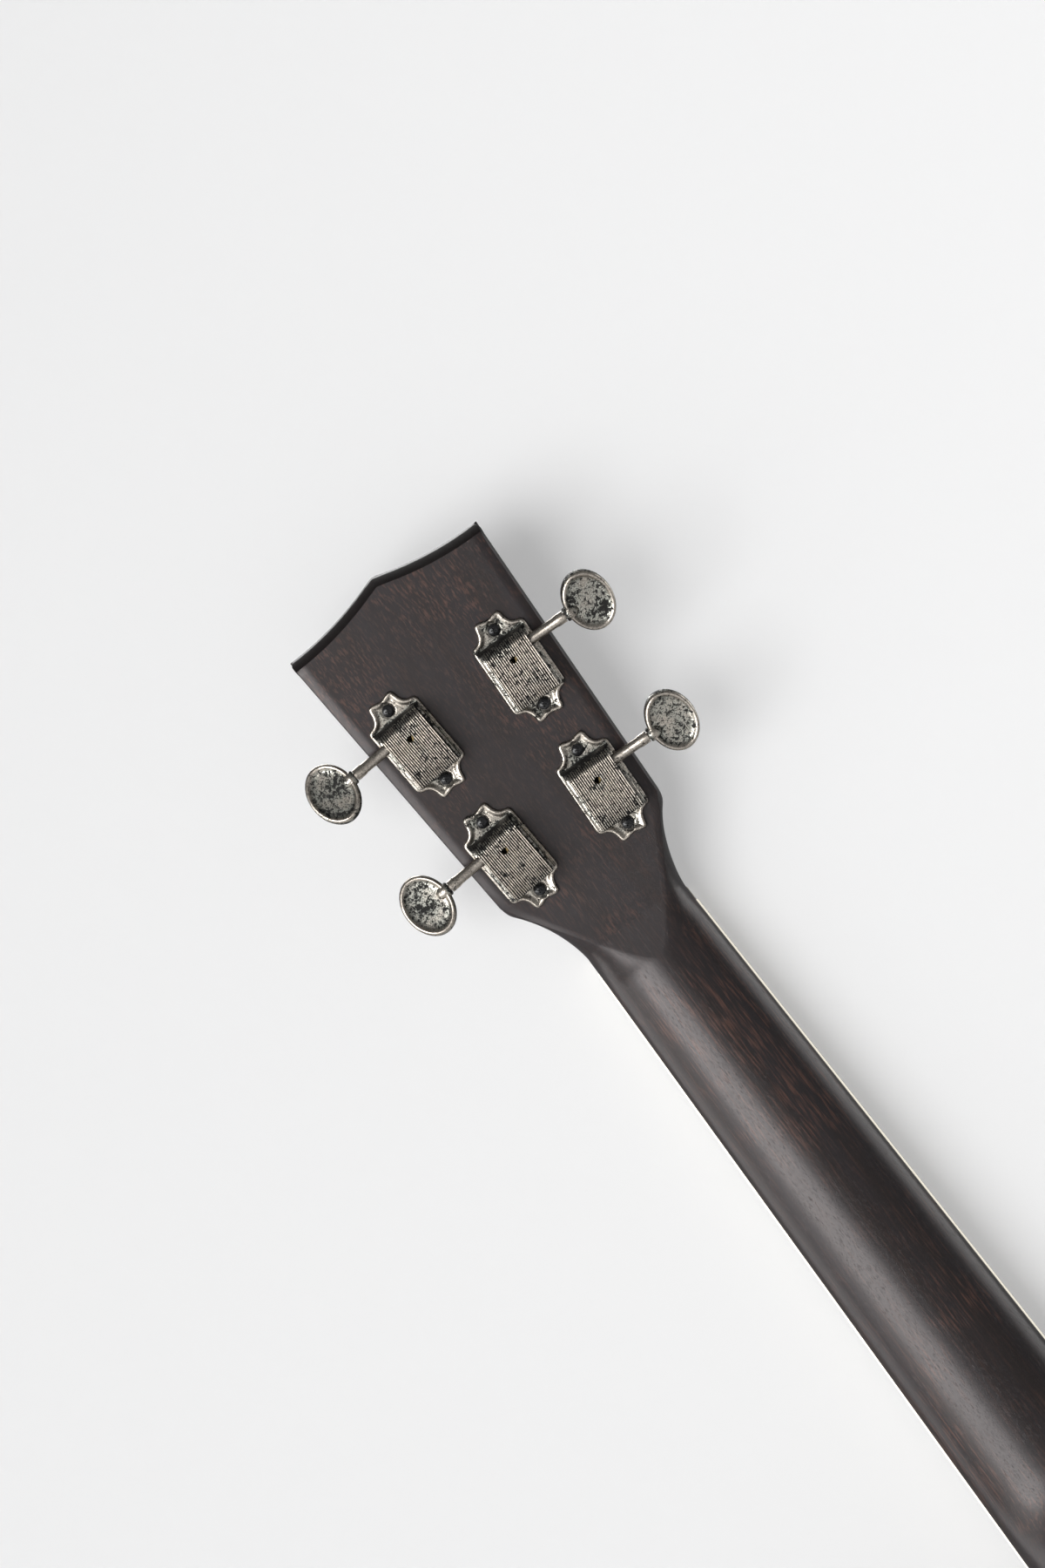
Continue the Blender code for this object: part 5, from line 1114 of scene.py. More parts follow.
# A stamped cover, open below, whose ribs run down over its tip end
def makeCover(string, side, place):
    foot, tip, rear = machine["coverFoot"], machine["coverTip"], machine["coverBody"]
    height, slope = machine["coverHeight"] - foot, machine["endSlope"]
    section = coverSection()
    rows = [(-rear, 0.00035), (-rear + 0.00008, 0.00016), (-rear + 0.00022, 0.00004), (-rear + 0.0004, 0)]
    rows += [(-0.0060 + 0.0020 * i, 0) for i in range(7)]
    rings = [[(x * (1 - drop / 0.02), y, z - drop * (z - foot) / height) for x, z in section]
             for y, drop in rows]
    endSteps = 12
    for i in range(1, endSteps + 1):
        angle = math.pi / 2 * i / endSteps
        y, share = tip - slope * (1 - math.sin(angle)), 1 - coverFall(angle) / height
        rings.append([(x, y, foot + (z - foot) * share) for x, z in section])
    piece = addPiece(f"cover_{string}", shapeOf(loft(rings)), "oldNickel",
                     (f"tuner_cover_{string}",), place, sharp=50)
    wide, wall = machine["coverInside"], machine["wall"]
    ceiling = machine["coverHeight"] - wall - machine["ribDepth"]
    arch = [(-rear + wall, -0.001), (-rear + wall, ceiling), (tip - slope - 0.0004, ceiling),
            (tip - slope * 0.45, ceiling - 0.0012), (tip - 1.9 * wall, ceiling - 0.0030),
            (tip - 1.9 * wall, -0.001)]
    cutOut(piece, loft([[(x, y, z) for y, z in arch] for x in (-wide, wide)]), place)
    reach, at = machine["shaftRadius"] + gap, machine["wormAt"]
    notch = [(at - reach, 0)] + arcPoints(reach, 0.5, 0, 12, at, machine["wormHeight"]) + [(at + reach, 0)]
    low, high = sorted((side * (wide - gap), side * 2 * machine["halfWidth"]))
    cutOut(piece, loft([[(x, y, z) for y, z in notch] for x in (low, high)]), place)
    cutOut(piece, drill(machine["oilRadius"], 0, 0.004, 28),
           place @ Matrix.Translation((0, machine["oilAt"], machine["coverHeight"] - 0.003)))
    keepSharp(piece)

    # Share of patina and painted shade on the cover: painted shade fills the rib grooves, grows down the tip
    # end and lies on the flanks just under the top; the sides take a third
    def patinaAndShadeAt(point):
        fallen = max(0.0, point.y - tip + slope) / slope
        surface = machine["coverHeight"] - coverFall(math.asin(min(1.0, fallen)))
        out = abs(point.x) - machine["coverSide"]
        top = (surface - point.z) / machine["ribDepth"] if out < -0.0009 else 0.35
        end = 0.34 * easeBetween(fallen, 0.05, 0.35) + 0.66 * easeBetween(fallen, 0.62, 0.92)
        flank = 0.9 * easeBetween(machine["coverHeight"] - point.z, 0.0004, 0.0010)
        return max(min(1.0, top), end, flank if out > -0.0011 and point.z > 0.0062 else 0.0)

    setShare(piece, "patinaAndShade", place, patinaAndShadeAt)


# The shaft with its worm, a right-handed ridge with a crest that faces the wheel
def makeShaft(string, side, place):
    inner = -(machine["coverInside"] - gap)
    wormEnd = -inner - 0.0010 - gap
    shoulder = machine["reach"] - machine["buttonHalfWidth"] - machine["shoulderDrop"]
    core, radius, stub = machine["coreRadius"], machine["shaftRadius"], machine["stubRadius"]
    profile = [(0, inner), (radius, inner), (radius, -wormEnd), (core, -wormEnd + 0.0004),
               (core, wormEnd - 0.0004), (radius, wormEnd), (radius, shoulder - 0.0035),
               (radius + 0.0002, shoulder - 0.0028), (radius + 0.0002, shoulder), (stub, shoulder),
               (stub, shoulder + machine["stubDepth"]), (0, shoulder + machine["stubDepth"])]
    along = Matrix.Rotation(side * math.pi / 2, 4, "Y")
    steps = 24 * machine["wormTurns"]
    root = core - 0.0002
    rings = []
    for i in range(steps + 1):
        turns = machine["wormTurns"] * (i / steps - 0.5)
        angle = math.pi + 2 * math.pi * turns
        outward = Vector((0, math.cos(angle), math.sin(angle)))
        crest = core + (machine["crestRadius"] - core) * min(1, min(i, steps - i) / 6)
        ridge = ((-0.28, root), (-0.13, crest - 0.0001), (-0.06, crest), (0.06, crest),
                 (0.13, crest - 0.0001), (0.28, root))
        rings.append([Vector(((turns + share) * machine["lead"], 0, 0)) + outward * r for share, r in ridge])
    frame = place @ Matrix.Translation((0, machine["wormAt"], machine["wormHeight"]))
    shape = shapeOf(moved(lathe(profile, 32), along), loft(rings))
    addPiece(f"shaft_{string}", shape, "oldNickel", (f"worm_shaft_{string}",), frame,
             sharp=40, body=f"button_{string}")


# An oval button, dished on both faces inside a round raised rim, on a boss that takes the shaft's end
def makeButton(string, side, place):
    rim, web = machine["rimThickness"], machine["webThickness"]
    half = [(0.30, web * 0.92), (0.62, web), (0.72, web * 1.05), (0.78, web * 1.25), (0.83, rim * 0.82),
            (0.87, rim * 0.97), (0.905, rim), (0.945, rim * 0.93), (0.975, rim * 0.72), (0.993, rim * 0.42),
            (1.0, 0)]
    profile = half + [(share, -z) for share, z in half[-2::-1]]
    wide, tall, middle = machine["buttonHalfWidth"], machine["buttonHalfLength"], side * machine["reach"]
    oval = ringPoints(1, 72)
    rings = [[(middle + wide * x * share, tall * y * share, z) for x, y in oval] for share, z in profile]
    frame = place @ Matrix.Translation((0, machine["wormAt"], machine["wormHeight"]))
    frame = frame @ Matrix.Rotation(math.radians(machine["restTurns"][string]), 4, "X")
    piece = addPiece(f"button_{string}", shapeOf(loft(rings)), "oldNickel",
                     (f"tuner_button_{string}",), frame, sharp=50, body=f"button_{string}")
    along = Matrix.Rotation(side * math.pi / 2, 4, "Y")
    start = machine["reach"] - wide - machine["shoulderDrop"] + gap
    end = machine["reach"] - 0.55 * wide
    boss = machine["bossRadius"]
    profile = [(0, start), (boss - 0.0003, start), (boss, start + 0.0003), (boss, start + 0.0018),
               (boss * 0.85, end - 0.0008), (boss * 0.5, end + 0.0002), (0, end + 0.0004)]
    cutOut(piece, moved(lathe(profile, 32), along), frame, "UNION")
    bore = drill(machine["stubRadius"] + gap, start - 0.002, start + machine["stubDepth"], 24)
    cutOut(piece, moved(bore, along), frame)
    keepSharp(piece)

    # Share of patina and painted shade on the button: over half in the dish, where spots and green stain
    # gather, three quarters at the rim's outer edge, and 0.3 beyond the oval
    def patinaAndShadeAt(point):
        share = math.hypot((point.x - middle) / wide, point.y / tall)
        dished = 0.55 * easeBetween(share, 0.88, 0.78)
        return max(dished, 0.75 * easeBetween(share, 0.965, 0.998), 0.30 if share > 1.005 else 0.0)

    setShare(piece, "patinaAndShade", frame, patinaAndShadeAt)


# The post: its neck inside the wheel, its shoulder on the plate, and its waist for the string
def makePost(string, place):
    seat = machine["seatRadius"]
    low, high = (machine["wormHeight"] + side * machine["seatHalfLength"] for side in (-1, 1))
    end, radius, waist = machine["postEnd"], machine["postRadius"], machine["waistRadius"]
    top = machine["plateTop"] + gap
    profile = [(0, high + 0.0008), (seat + 0.0006, high + 0.0008), (seat + 0.0006, high), (seat, high),
               (seat, low), (radius + 0.001, low), (radius + 0.001, top), (radius, top),
               (radius, end + 0.0079), (radius - 0.0002, end + 0.0076), (waist, end + 0.0070),
               (waist, end + 0.0028), (radius - 0.0002, end + 0.0021), (radius, end + 0.0018),
               (radius, end + 0.0006), (radius - 0.0003, end + 0.0002), (radius - 0.0007, end), (0, end)]
    frame = place @ Matrix.Translation((0, postAt, 0))
    piece = addPiece(f"post_{string}", shapeOf(lathe(profile, 40)), "cleanNickel",
                     (f"string_post_{string}",), frame, sharp=40, body=f"post_{string}")
    through = Matrix.Translation((0, 0, end + 0.0032)) @ Matrix.Rotation(math.pi / 2, 4, "Y")
    cutOut(piece, moved(drill(machine["stringHole"], -0.006, 0.006, 20), through), frame)
    keepSharp(piece, 40)


def makeFerrule(string, place):
    face = machine["ferruleFront"]
    barrel, flange, bore = machine["ferruleBarrel"], machine["ferruleFlange"], machine["postRadius"] + gap
    profile = [(bore, face + 0.0054), (barrel, face + 0.0054), (barrel, face), (flange, face),
               (flange, face - 0.0004), (flange - 0.00012, face - 0.00065), (flange - 0.0004, face - 0.0009),
               (flange - 0.0010, face - 0.0011), (bore + 0.0003, face - 0.0012), (bore, face - 0.0010)]
    frame = place @ Matrix.Translation((0, postAt, 0))
    addPiece(f"ferrule_{string}", shapeOf(lathe(profile, 48, loop=True)), "cleanNickel",
             (f"post_ferrule_{string}",), frame, sharp=40)


# Domed heads with a cross, each turned its own way
def makeScrews(string, place):
    seat, shank, length = machine["plateTop"] - 0.0003, machine["screwShank"], machine["screwLength"]
    radius, height = machine["screwRadius"], machine["screwHeight"]
    dome = [(radius * x, seat + height * (0.30 + 0.70 * y)) for x, y in arcPoints(1, 0, 0.25, 8)]
    profile = [(0, seat - length), (shank, seat - length + 0.0024), (shank, seat),
               (radius - 0.00035, seat - 0.0005), (radius, seat - 0.0001)] + dome[:-1] + [(0, seat + height)]
    for end, spot in ((1, "upper"), (-1, "lower")):
        turn = Matrix.Rotation(0.35 + 0.9 * end, 4, "Z")
        frame = place @ Matrix.Translation((0, end * machine["screwReach"], 0)) @ turn
        piece = addPiece(f"screw_{string}_{spot}", shapeOf(lathe(profile, 40)), "blackSteel",
                         (f"plate_screw_{string}_{spot}",), frame, sharp=40)
        long, wide = machine["slotLong"], machine["slotWide"]
        for x, y in ((long, wide), (wide, long)):
            rings = [[(sx * x * s, sy * y * s, z) for sx, sy in ((-1, -1), (1, -1), (1, 1), (-1, 1))]
                     for s, z in ((0.65, seat + height - 0.0009), (1.1, seat + height + 0.001))]
            cutOut(piece, loft(rings), frame)
        keepSharp(piece, 40)


def makeMachine(string):
    side, place = machines[string]
    makePlate(string, place)
    makeCover(string, side, place)
    makeShaft(string, side, place)
    makeButton(string, side, place)
    makePost(string, place)
    makeFerrule(string, place)
    makeScrews(string, place)


for string in machines:
    makeMachine(string)
print("tuning machines made")
# Fingerboard, headplate and strings, on the bench frame

front = {
    "boardTop": 0.0068,
    "boardBevel": 0.0003,
    "boardPastFrets": 0.004,
    "bindingWidth": 0.0015,
    "bindingProud": 0.0005,
    "frets": 19,
    "fretWidth": 0.0020,
    "fretHeight": 0.0010,
    "fretEnds": ((-1, 0), (-1, 0.55), (-0.975, 0.86), (-0.94, 1), (0, 1), (0.94, 1), (0.975, 0.86),
                 (1, 0.55), (1, 0)),
    "dotRadius": 0.0026,
    "dots": (5, 7, 10, 12, 15),
    "dotPair": 0.0085,
    "headplateBack": 0.0123,
    "headplateFront": 0.0141,
    "windingTurns": 2.5,
    "windingSpace": 0.00045,
    "windingStart": 0.0062,
    "nutString": (0.0097, 0.0086),        # spacing, then height
    "saddleString": (0.0120, 0.0134),
    "tailString": (0.0110, 0.0087),
    "knotRadius": 0.0009,
    "wellRadius": 0.0835,
    "tailMargin": 0.0161,
    "tailLip": 0.031,
}
strings = {      # radius, then the place from the left
    "g": (0.00036, 0),
    "c": (0.00045, 1),
    "e": (0.00041, 2),
    "a": (0.00033, 3),
}
tailAt = neck["scaleLength"] + front["wellRadius"] + front["tailMargin"]
lipAt = -tailAt + front["tailLip"]


def fretPlace(number):
    return -neck["scaleLength"] * (1 - 2 ** (-number / 12))


def makeBoard():
    length = -fretPlace(front["frets"]) + front["boardPastFrets"]
    edge = front["bindingWidth"] + gap
    top, bevel = front["boardTop"], front["boardBevel"]
    rings = []
    for drawn, z in ((0, gap), (0, top - bevel), (0.3 * bevel, top - 0.3 * bevel), (bevel, top)):
        near, far = (neckHalfWidth(y) - edge - drawn for y in (0, -length))
        end = -length + edge + drawn
        rings.append([(-near, 0, z), (near, 0, z), (far, end, z), (-far, end, z)])
    addPiece("fingerboard_wood", shapeOf(loft(rings)), "ebony", ("fingerboard",), upright)
    outer, inner = [], []
    for y in (0, -0.25 * length, -0.5 * length, -0.75 * length, -length):
        outer.append((neckHalfWidth(y) + front["bindingProud"], y))
        inner.append((neckHalfWidth(y) - front["bindingWidth"], max(y, -length + front["bindingWidth"])))
    outline = outer + [(-x, y) for x, y in outer[::-1]] + [(-x, y) for x, y in inner] + inner[::-1]
    addPiece("binding_strip", plate([outline], gap, top, bevel), "cream",
             ("fingerboard_binding",), upright, sharp=60)
    arc = [(0.5 * front["fretWidth"] * x, front["fretHeight"] * y) for x, y in arcPoints(1, 0, 0.5, 12)]
    rows = []
    for number in range(1, front["frets"] + 1):
        y = fretPlace(number)
        half = neckHalfWidth(y) - edge - gap
        rows.append(loft([[(share * half, y + dy * (0.6 + 0.4 * full), top - 0.0002 + (dz + 0.0002) * full)
                           for dy, dz in arc] for share, full in front["fretEnds"]]))
    addPiece("frets", shapeOf(*rows), "cleanNickel", place=upright, sharp=60)
    radius, pair = front["dotRadius"], front["dotPair"]
    disc = lathe([(0, 0.0002), (radius, 0.0002), (radius, 0.00003 + top), (0, 0.00006 + top)], 32)
    spots = [moved(disc, Matrix.Translation((x, (fretPlace(number) + fretPlace(number - 1)) / 2, 0)))
             for number in front["dots"] for x in ((-pair, pair) if number == 12 else (0,))]
    addPiece("position_dots", shapeOf(*spots), "bone", place=upright)


def makeHeadplate():
    right = [(half, along) for along, half in headFlare() + [(neck["cornerAt"], neck["cornerHalfWidth"])]]
    right += [(headHalfWidth(y), y) for y in (0.05, 0.07, 0.09, 0.11, 0.125)]
    tip = [(x, tipReach(x)) for x in (neck["tipHalfWidth"] * (1 - i / 20) for i in range(41))]
    outline = right + tip + [(-x, y) for x, y in right[::-1]]
    bores = []
    for _, place in machines.values():
        post = (sceneToHead @ place) @ Vector((0, postAt, 0))
        bores.append(ringPoints(neck["boreRadius"], 40, post.x, post.y))
    shape = plate([outline] + bores, -front["headplateFront"], -front["headplateBack"], 0.0004)
    addPiece("headplate_veneer", shape, "ebony", ("headplate",), headToScene, sharp=60)


# Where a string crosses y, from the spacing and height there
def stringPoint(index, crossing, y):
    spacing, height = front[crossing]
    return Vector(((index - 1.5) * spacing, y, height))


# From behind the tailpiece's lip, over saddle and nut, and down round the post
def stringRoute(string):
    radius, index = strings[string]
    side, place = machines[string]
    route = [stringPoint(index, "tailString", y) for y in (lipAt - 0.0024, lipAt)]
    saddle = stringPoint(index, "saddleString", -neck["scaleLength"])
    nut = [stringPoint(index, "nutString", y) for y in (0, headStart * 0.5, headStart)]
    route += [route[-1].lerp(saddle, s) for s in (0.25, 0.5, 0.75, 0.97)] + [saddle]
    route += [saddle.lerp(nut[0], s) for s in (0.005, 0.05, 0.2, 0.4, 0.6, 0.8, 0.95)] + nut
    coil = machine["waistRadius"] + gap + radius
    pitch = 2 * radius + front["windingSpace"]
    top = front["headplateFront"] + front["windingStart"]
    centre = (sceneToHead @ place) @ Vector((0, postAt, 0))
    steps = round(40 * front["windingTurns"])
    winding = []
    for i in range(steps + 1):
        turns = front["windingTurns"] * i / steps
        angle = (math.pi if side > 0 else 0) - side * 2 * math.pi * turns
        spot = (centre.x + coil * math.cos(angle), centre.y + coil * math.sin(angle), pitch * turns - top)
        winding.append(headMatrix @ Vector(spot))
    return route + [nut[-1].lerp(winding[0], s) for s in (0.02, 0.3, 0.7, 0.98)] + winding


def makeStrings():
    for string, (radius, index) in strings.items():
        middle, size = stringPoint(index, "tailString", lipAt - 0.0017), front["knotRadius"]
        knot = []
        for i in range(41):
            angle = 2 * math.pi * i / 40
            across = size * math.cos(angle) * (1 + 0.3 * math.sin(3 * angle))
            knot.append(middle + Vector((across, 0.0006 * math.sin(2 * angle), size * math.sin(angle))))
        shape = shapeOf(tube(stringRoute(string), radius, 12), tube(knot, radius * 0.9, 8))
        addPiece(f"string_line_{string}", shape, "string", (f"string_{string}",), upright)


makeBoard()
makeHeadplate()
makeStrings()
print("front of the neck made")


# Body: top, back and sides on one outline

body = {
    "width": 0.222,
    "upper": 0.743,            # bouts and waist, as shares of the width
    "waist": 0.604,
    "lower": 1.0,
    "upperAt": 0.206,          # and as shares of the length
    "waistAt": 0.414,
    "lowerAt": 0.685,
    "heelFlat": 0.030,
    "topThickness": 0.0028,
    "backThickness": 0.0025,
    "sidesDepth": 0.060,
    "wall": 0.0022,
    "lining": 0.0060,
    "liningDepth": 0.0080,
    "neckBlock": 0.034,
    "tailBlock": 0.030,
    "edgeRound": 0.0009,
    "wellLedge": 0.003,
    "holeRadius": 0.0130,
    "holeReach": 0.582,
    "holeAt": 0.185,
    "strapDrop": 0.030,
    "strapBore": 0.0029,
}
bodyLength = tailAt - bodyJoin
holeReach = body["holeReach"] * 0.5 * body["width"] * body["upper"]
holePlaces = [upright @ Matrix.Translation((side * holeReach, -bodyJoin - body["holeAt"] * bodyLength, 0))
              for side in (-1, 1)]
strapPlace = upright @ Matrix.Translation((0, -tailAt, -body["strapDrop"]))
strapPlace = strapPlace @ Matrix.Rotation(math.pi / 2, 4, "X")


def bodyOutline():
    def spot(x, share):
        return (x, -bodyJoin - share * bodyLength)
    upper, waist, lower = (0.5 * body["width"] * body[part] for part in ("upper", "waist", "lower"))
    upperAt, waistAt, lowerAt = body["upperAt"], body["waistAt"], body["lowerAt"]
    right = bezier(spot(body["heelFlat"], 0), spot(0.8 * upper, 0), spot(upper, 0.42 * upperAt),
                   spot(upper, upperAt), 28)
    right += bezier(spot(upper, upperAt), spot(upper, 0.60 * upperAt + 0.40 * waistAt),
                    spot(waist, 0.40 * upperAt + 0.60 * waistAt), spot(waist, waistAt), 24)
    right += bezier(spot(waist, waistAt), spot(waist, 0.62 * waistAt + 0.38 * lowerAt),
                    spot(lower, 0.52 * waistAt + 0.48 * lowerAt), spot(lower, lowerAt), 28)
    right += bezier(spot(lower, lowerAt), spot(lower, 0.42 * lowerAt + 0.58), spot(0.58 * lower, 1),
                    spot(0, 1), 40)
    return [(-x, y) for x, y in right + [spot(0, 1)]] + right[::-1]


# A board with rounded edges on the body's outline
def roundPlate(name, outline, low, high, replaced):
    bow = body["edgeRound"]
    rings = [(bow * (1 - y), low + bow * (1 - x)) for x, y in arcPoints(1, 0, 0.25, 4)]
    rings += [(drawn, low + high - z) for drawn, z in rings[::-1]]
    loops = [[(x, y, z) for x, y in inset(outline, [drawn] * len(outline))] for drawn, z in rings]
    return addPiece(name, shapeOf(loft(loops)), "mahogany", (replaced,), upright,
                    sharp=50)


def makeBody():
    outline = bodyOutline()
    top = roundPlate("top_board", outline, -body["topThickness"], 0, "top")
    well = upright @ Matrix.Translation((0, -neck["scaleLength"], 0))
    cutOut(top, drill(front["wellRadius"] - body["wellLedge"], -0.01, 0.01, 160), well)
    for place in holePlaces:
        cutOut(top, drill(body["holeRadius"], -0.01, 0.01, 64), place)
    keepSharp(top)
    high = -body["topThickness"] - gap
    low = high - body["sidesDepth"]
    roundPlate("back_board", outline, low - gap - body["backThickness"], low - gap, "back")
    wall, blockDepth = body["wall"], body["upperAt"] * bodyLength
    lined = []
    for x, y in outline:
        atNeck = y > -bodyJoin - blockDepth and abs(x) < body["neckBlock"]
        atTail = y < -tailAt + blockDepth and abs(x) < body["tailBlock"]
        lined.append(wall if atNeck or atTail else body["lining"])
    middle, inner = inset(outline, [wall] * len(outline)), inset(outline, lined)
    deep, slope = body["liningDepth"], 0.6 * body["liningDepth"]
    rings = [[(*a, low), (*a, high), (*c, high), (*c, high - slope), (*b, high - deep), (*b, low + deep),
              (*c, low + slope), (*c, low)] for a, b, c in zip(outline, middle, inner)]
    piece = addPiece("bent_sides", shapeOf(loft(rings, closed=True)), "mahogany",
                     ("sides",), upright, sharp=50)
    cutOut(piece, drill(body["strapBore"], -0.02, 0.02, 32), strapPlace)
    keepSharp(piece)


makeBody()
print("body made")


# Resonator, handrest and fittings

resonator = {
    "coneRadius": 0.0762,
    "coneSeat": 0.024,
    "coneRise": 0.0190,
    "coneThickness": 0.0006,
    "coneRim": 0.0062,
    "coneRings": 36,
    "coneRipple": 0.00016,
    "ledge": 0.0220,
    "plateRadius": 0.090,
    "plateThickness": 0.0008,
    "plateRise": 0.0065,
    "plateFlat": 0.034,
    "plateBend": 0.0045,
    "plateBendDrop": 0.0013,
    "plateRim": 0.0050,
    "slots": 12,
    "slotHalfWidth": 0.0030,
    "slotFrom": 0.511,                    # shares of the plate's radius
    "slotTo": 0.833,
    "openingHalf": (0.0245, 0.0043),
    "openingCorner": 0.002,
    "screws": 9,
    "screwAt": 0.0873,
    "screwRadius": 0.0017,
    "screwRise": 0.0007,
}
coneToScene = upright @ Matrix.Translation((0, -neck["scaleLength"], 0))


# Rounds a profile of (radius, height) where it bends, by a few passes that cut its corners
def easeCurve(points, passes=3):
    for _ in range(passes):
        eased = [points[0]]
        for a, b in zip(points, points[1:]):
            eased.append((0.75 * a[0] + 0.25 * b[0], 0.75 * a[1] + 0.25 * b[1]))
            eased.append((0.25 * a[0] + 0.75 * b[0], 0.25 * a[1] + 0.75 * b[1]))
        points = eased + [points[-1]]
    return points


def coverplateFace():
    r = resonator
    slopeEnd = r["plateRadius"] - r["plateRim"]
    rimTop, rise = gap + r["plateThickness"], r["plateRise"]
    return [(0, rise), (r["plateFlat"], rise), (r["plateFlat"] + r["plateBend"], rise - r["plateBendDrop"]),
            (slopeEnd - r["plateBend"], rimTop + r["plateBendDrop"]), (slopeEnd, rimTop),
            (r["plateRadius"] - 0.0006, rimTop), (r["plateRadius"], rimTop - 0.0003)]


# A hole of any outline through the coverplate
def pierce(piece, outline, turn):
    cutOut(piece, loft([[(x, y, z) for x, y in outline] for z in (-0.004, 0.012)]), coneToScene @ turn)


def makeCoverplate():
    r = resonator
    face = coverplateFace()
    curve = [face[0]] + easeCurve(face[1:6], 2) + [face[6]]
    under = [(r["plateRadius"], gap)]
    under += [(max(radius - 0.0004, 0), z - r["plateThickness"]) for radius, z in curve[-2::-1]]
    piece = addPiece("coverplate_metal", shapeOf(lathe(curve + under, 144)), "cleanNickel",
                     ("coverplate",), coneToScene, sharp=50)
    inner, outer = r["slotFrom"] * r["plateRadius"], r["slotTo"] * r["plateRadius"]
    drop = arcPoints(0.6 * r["slotHalfWidth"], 0.25, 0.75, 10, inner)
    drop += arcPoints(r["slotHalfWidth"], -0.25, 0.25, 12, outer)
    for i in range(r["slots"]):
        pierce(piece, drop, Matrix.Rotation(2 * math.pi * (i + 0.5) / r["slots"], 4, "Z"))
    (x, y), corner = r["openingHalf"], r["openingCorner"]
    opening = []
    for sx, sy, start in ((1, 1, 0), (-1, 1, 0.25), (-1, -1, 0.5), (1, -1, 0.75)):
        opening += arcPoints(corner, start, start + 0.25, 5, sx * (x - corner), sy * (y - corner))
    pierce(piece, opening, noTurn)
    keepSharp(piece)
    radius = r["screwRadius"]
    dome = [(radius * x, 0.00005 + r["screwRise"] * y) for x, y in arcPoints(1, 0, 0.25, 5)[:-1]]
    screw = lathe([(0, -0.0002), (radius, -0.0002)] + dome + [(0, 0.00005 + r["screwRise"])], 20)
    heads = []
    for i in range(r["screws"]):
        angle = 2 * math.pi * (i + 0.25) / r["screws"]
        spot = (r["screwAt"] * math.cos(angle), r["screwAt"] * math.sin(angle), gap + r["plateThickness"])
        heads.append(moved(screw, Matrix.Translation(spot)))
    addPiece("coverplate_screws", shapeOf(*heads), "cleanNickel", place=coneToScene)


# A thin dish seen from its inside, spun in fine ripples
def makeCone():
    r = resonator
    back, thick = -(r["ledge"] - gap), r["coneThickness"]
    rim = back + thick
    seat = rim + r["coneRise"]
    flank = r["coneRadius"] - r["coneRim"]
    face = [(0, seat), (r["coneSeat"], seat)]
    for i in range(1, r["coneRings"]):
        share = i / r["coneRings"]
        radius = r["coneSeat"] + share * (flank - r["coneSeat"])
        height = seat - r["coneRise"] * (0.9 * share + 0.1 * share ** 3)
        face.append((radius, height + r["coneRipple"] * (1 if i % 2 else -1)))
    face += [(flank, rim), (r["coneRadius"], rim)]
    under = [(r["coneRadius"], back)]
    under += [(max(radius - 0.4 * thick, 0), z - thick) for radius, z in face[-2::-1]]
    addPiece("cone_metal", shapeOf(lathe(face + under, 144)), "aluminium",
             ("resonator_cone",), coneToScene, sharp=60)


handrest = {
    "span": 0.040,
    "width": 0.024,
    "thickness": 0.0015,
    "knee": 0.006,
    "foot": 0.012,
    "aboveSaddle": 0.0075,
    "crownRise": 0.0012,
    "endRound": 0.006,
    "endNarrow": 0.004,
    "corner": 0.0005,
}


# A bent strap over the saddle, its feet on the coverplate's slope
def makeHandrest():
    span, thick, knee, foot = (handrest[part] for part in ("span", "thickness", "knee", "foot"))
    (near, high), (far, low) = coverplateFace()[2:4]
    footZ = high + (low - high) / (far - near) * (span + 0.004 - near) + gap + thick / 2
    crown, rise = front["saddleString"][1] + handrest["aboveSaddle"] + thick / 2, handrest["crownRise"]
    half = [(0, crown + rise), (0.5 * span, crown + rise / 2), (span - knee, crown - knee / 6),
            (span - knee / 3, crown - 0.67 * knee), (span, footZ + knee / 2), (span + knee / 3, footZ),
            (span + foot, footZ)]
    path = easeCurve([(-x, z) for x, z in half[:0:-1]] + half)
    bend, endRound = handrest["corner"], handrest["endRound"]
    rings = []
    for i, (x, z) in enumerate(path):
        ahead = (Vector(path[min(i + 1, len(path) - 1)]) - Vector(path[max(i - 1, 0)])).normalized()
        up = Vector((-ahead.y, ahead.x))
        fromRound = 1 - min(span + foot - abs(x), endRound) / endRound
        narrow = handrest["width"] / 2 - handrest["endNarrow"] * (1 - math.sqrt(max(0, 1 - fromRound ** 2)))
        section = []
        for sx, sz, start in ((-1, -1, 0.5), (1, -1, 0.75), (1, 1, 0), (-1, 1, 0.25)):
            corner = arcPoints(bend, start, start + 0.25, 3, sx * (narrow - bend), sz * (thick / 2 - bend))
            section += [(x + up.x * lift, across, z + up.y * lift) for across, lift in corner]
        rings.append(section)
    addPiece("handrest_strap", shapeOf(loft(rings)), "cleanNickel", ("handrest",),
             coneToScene, sharp=50)


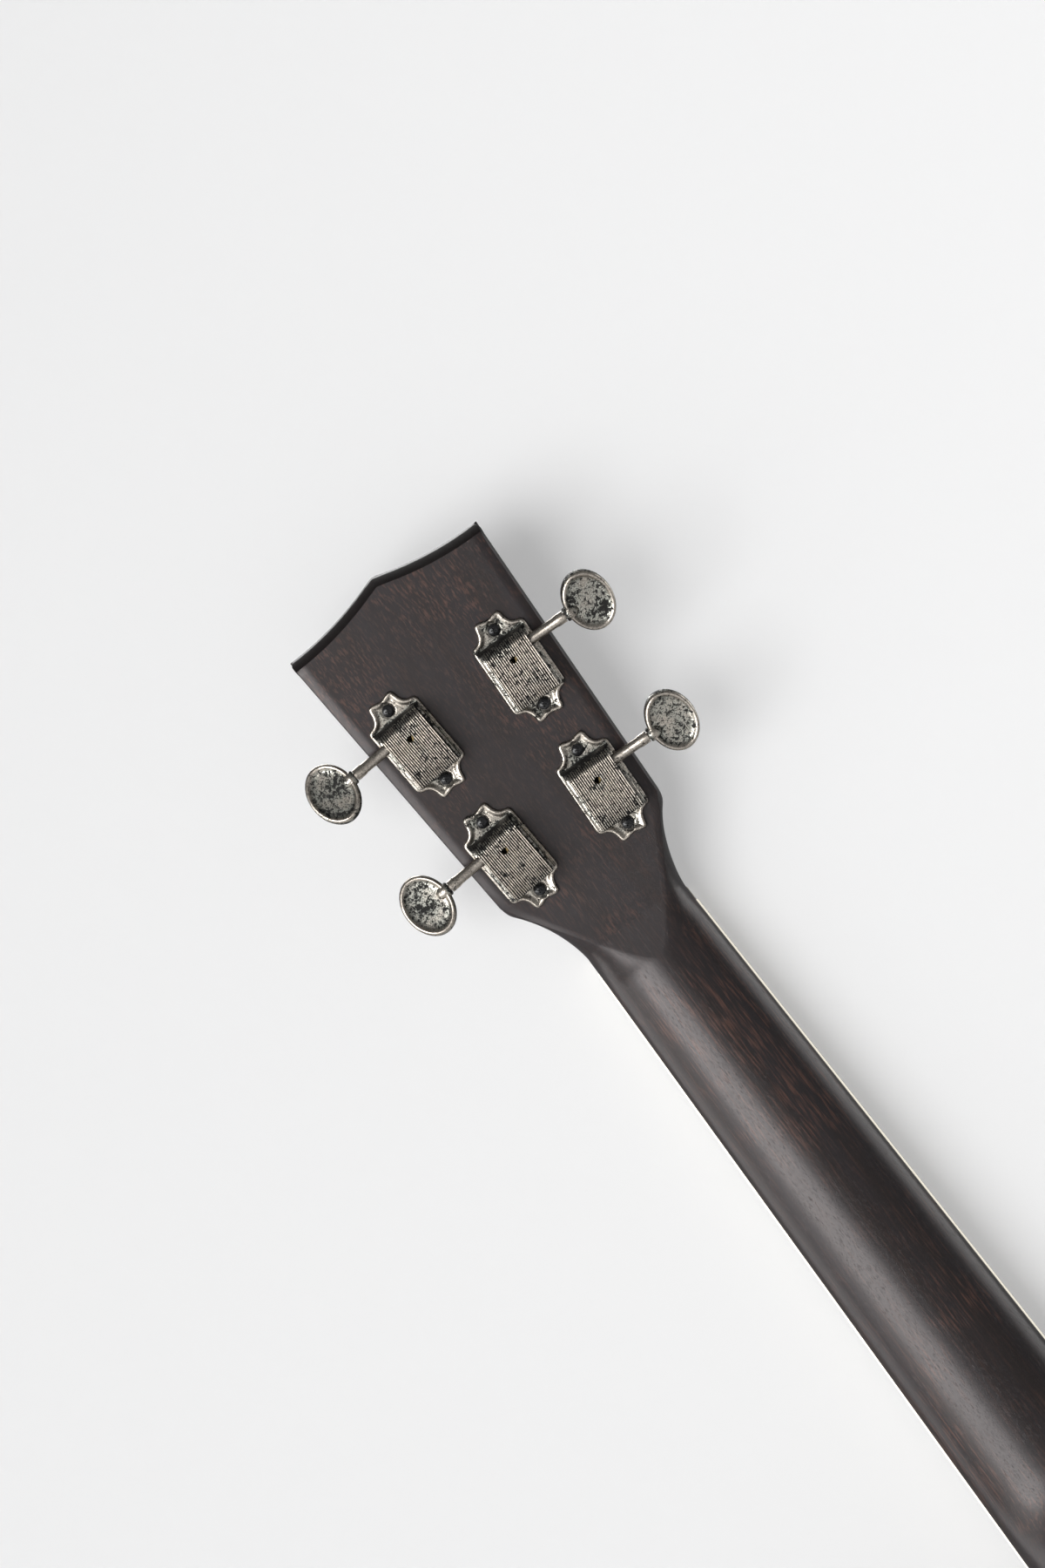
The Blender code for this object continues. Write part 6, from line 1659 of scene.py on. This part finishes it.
fittings = {
    "screenRadius": 0.0160,
    "screenProud": 0.0012,
    "barrelRadius": 0.0127,
    "barrelWall": 0.0010,
    "barrelEnd": -0.0031,
    "holeRadius": 0.0025,
    "holeRing": 0.66,
    "knobLength": 0.0115,
    "pinRadius": 0.0026,
    "pinLength": 0.016,
}


def makeFittings():
    outer, barrel, low, face = (fittings["screenRadius"], fittings["barrelRadius"], fittings["barrelEnd"],
                                gap + fittings["screenProud"])
    inner = barrel - fittings["barrelWall"]
    profile = [(0, face - 0.0003), (inner - 0.0002, face - 0.0003), (inner + 0.0006, face),
               (outer - 0.0008, face - 0.00005), (outer - 0.0002, face - 0.0005), (outer, gap),
               (barrel, gap), (barrel, low), (inner, low), (inner, gap), (0, gap)]
    for word, frame in zip(("left", "right"), holePlaces):
        piece = addPiece(f"screen_{word}", shapeOf(lathe(profile, 72)), "cleanNickel",
                         (f"soundhole_screen_{word}",), frame, sharp=50)
        for x, y in [(0, 0)] + ringPoints(fittings["holeRing"] * inner, 8):
            hole = drill(fittings["holeRadius"], -0.004, 0.004, 28)
            cutOut(piece, hole, frame @ Matrix.Translation((x, y, 0)))
        keepSharp(piece)
    seat, length, pin = gap + 0.0012 + gap, fittings["knobLength"], fittings["pinRadius"]
    knob = ((0, 1), (0.0030, 0.995), (0.0052, 0.95), (0.0064, 0.89), (0.0070, 0.80), (0.0069, 0.73),
            (0.0060, 0.64), (0.0047, 0.54), (0.0040, 0.42), (0.0041, 0.25), (0.0046, 0.1), (0.0052, 0),
            (pin, 0))
    profile = [(radius, seat + share * length) for radius, share in knob]
    profile += [(pin, seat - fittings["pinLength"] + 0.002), (0, seat - fittings["pinLength"])]
    addPiece("strap_knob", shapeOf(lathe(profile, 56)), "cleanNickel", ("strap_button",),
             strapPlace, sharp=50)


# Softens the edges of a CAD solid whose shape stays
def softenEdges(name, width):
    modifier = nodes[name].modifiers.new("softEdges", "BEVEL")
    modifier.width = width
    modifier.segments = 2
    modifier.limit_method = "ANGLE"
    modifier.angle_limit = math.radians(40)
    modifier.harden_normals = True


makeCoverplate()
makeCone()
makeHandrest()
makeFittings()
for name, width in (("nut", 0.0003), ("saddle", 0.0002), ("biscuit", 0.0003), ("tailpiece", 0.0003)):
    softenEdges(name, width)
print("resonator and fittings made")
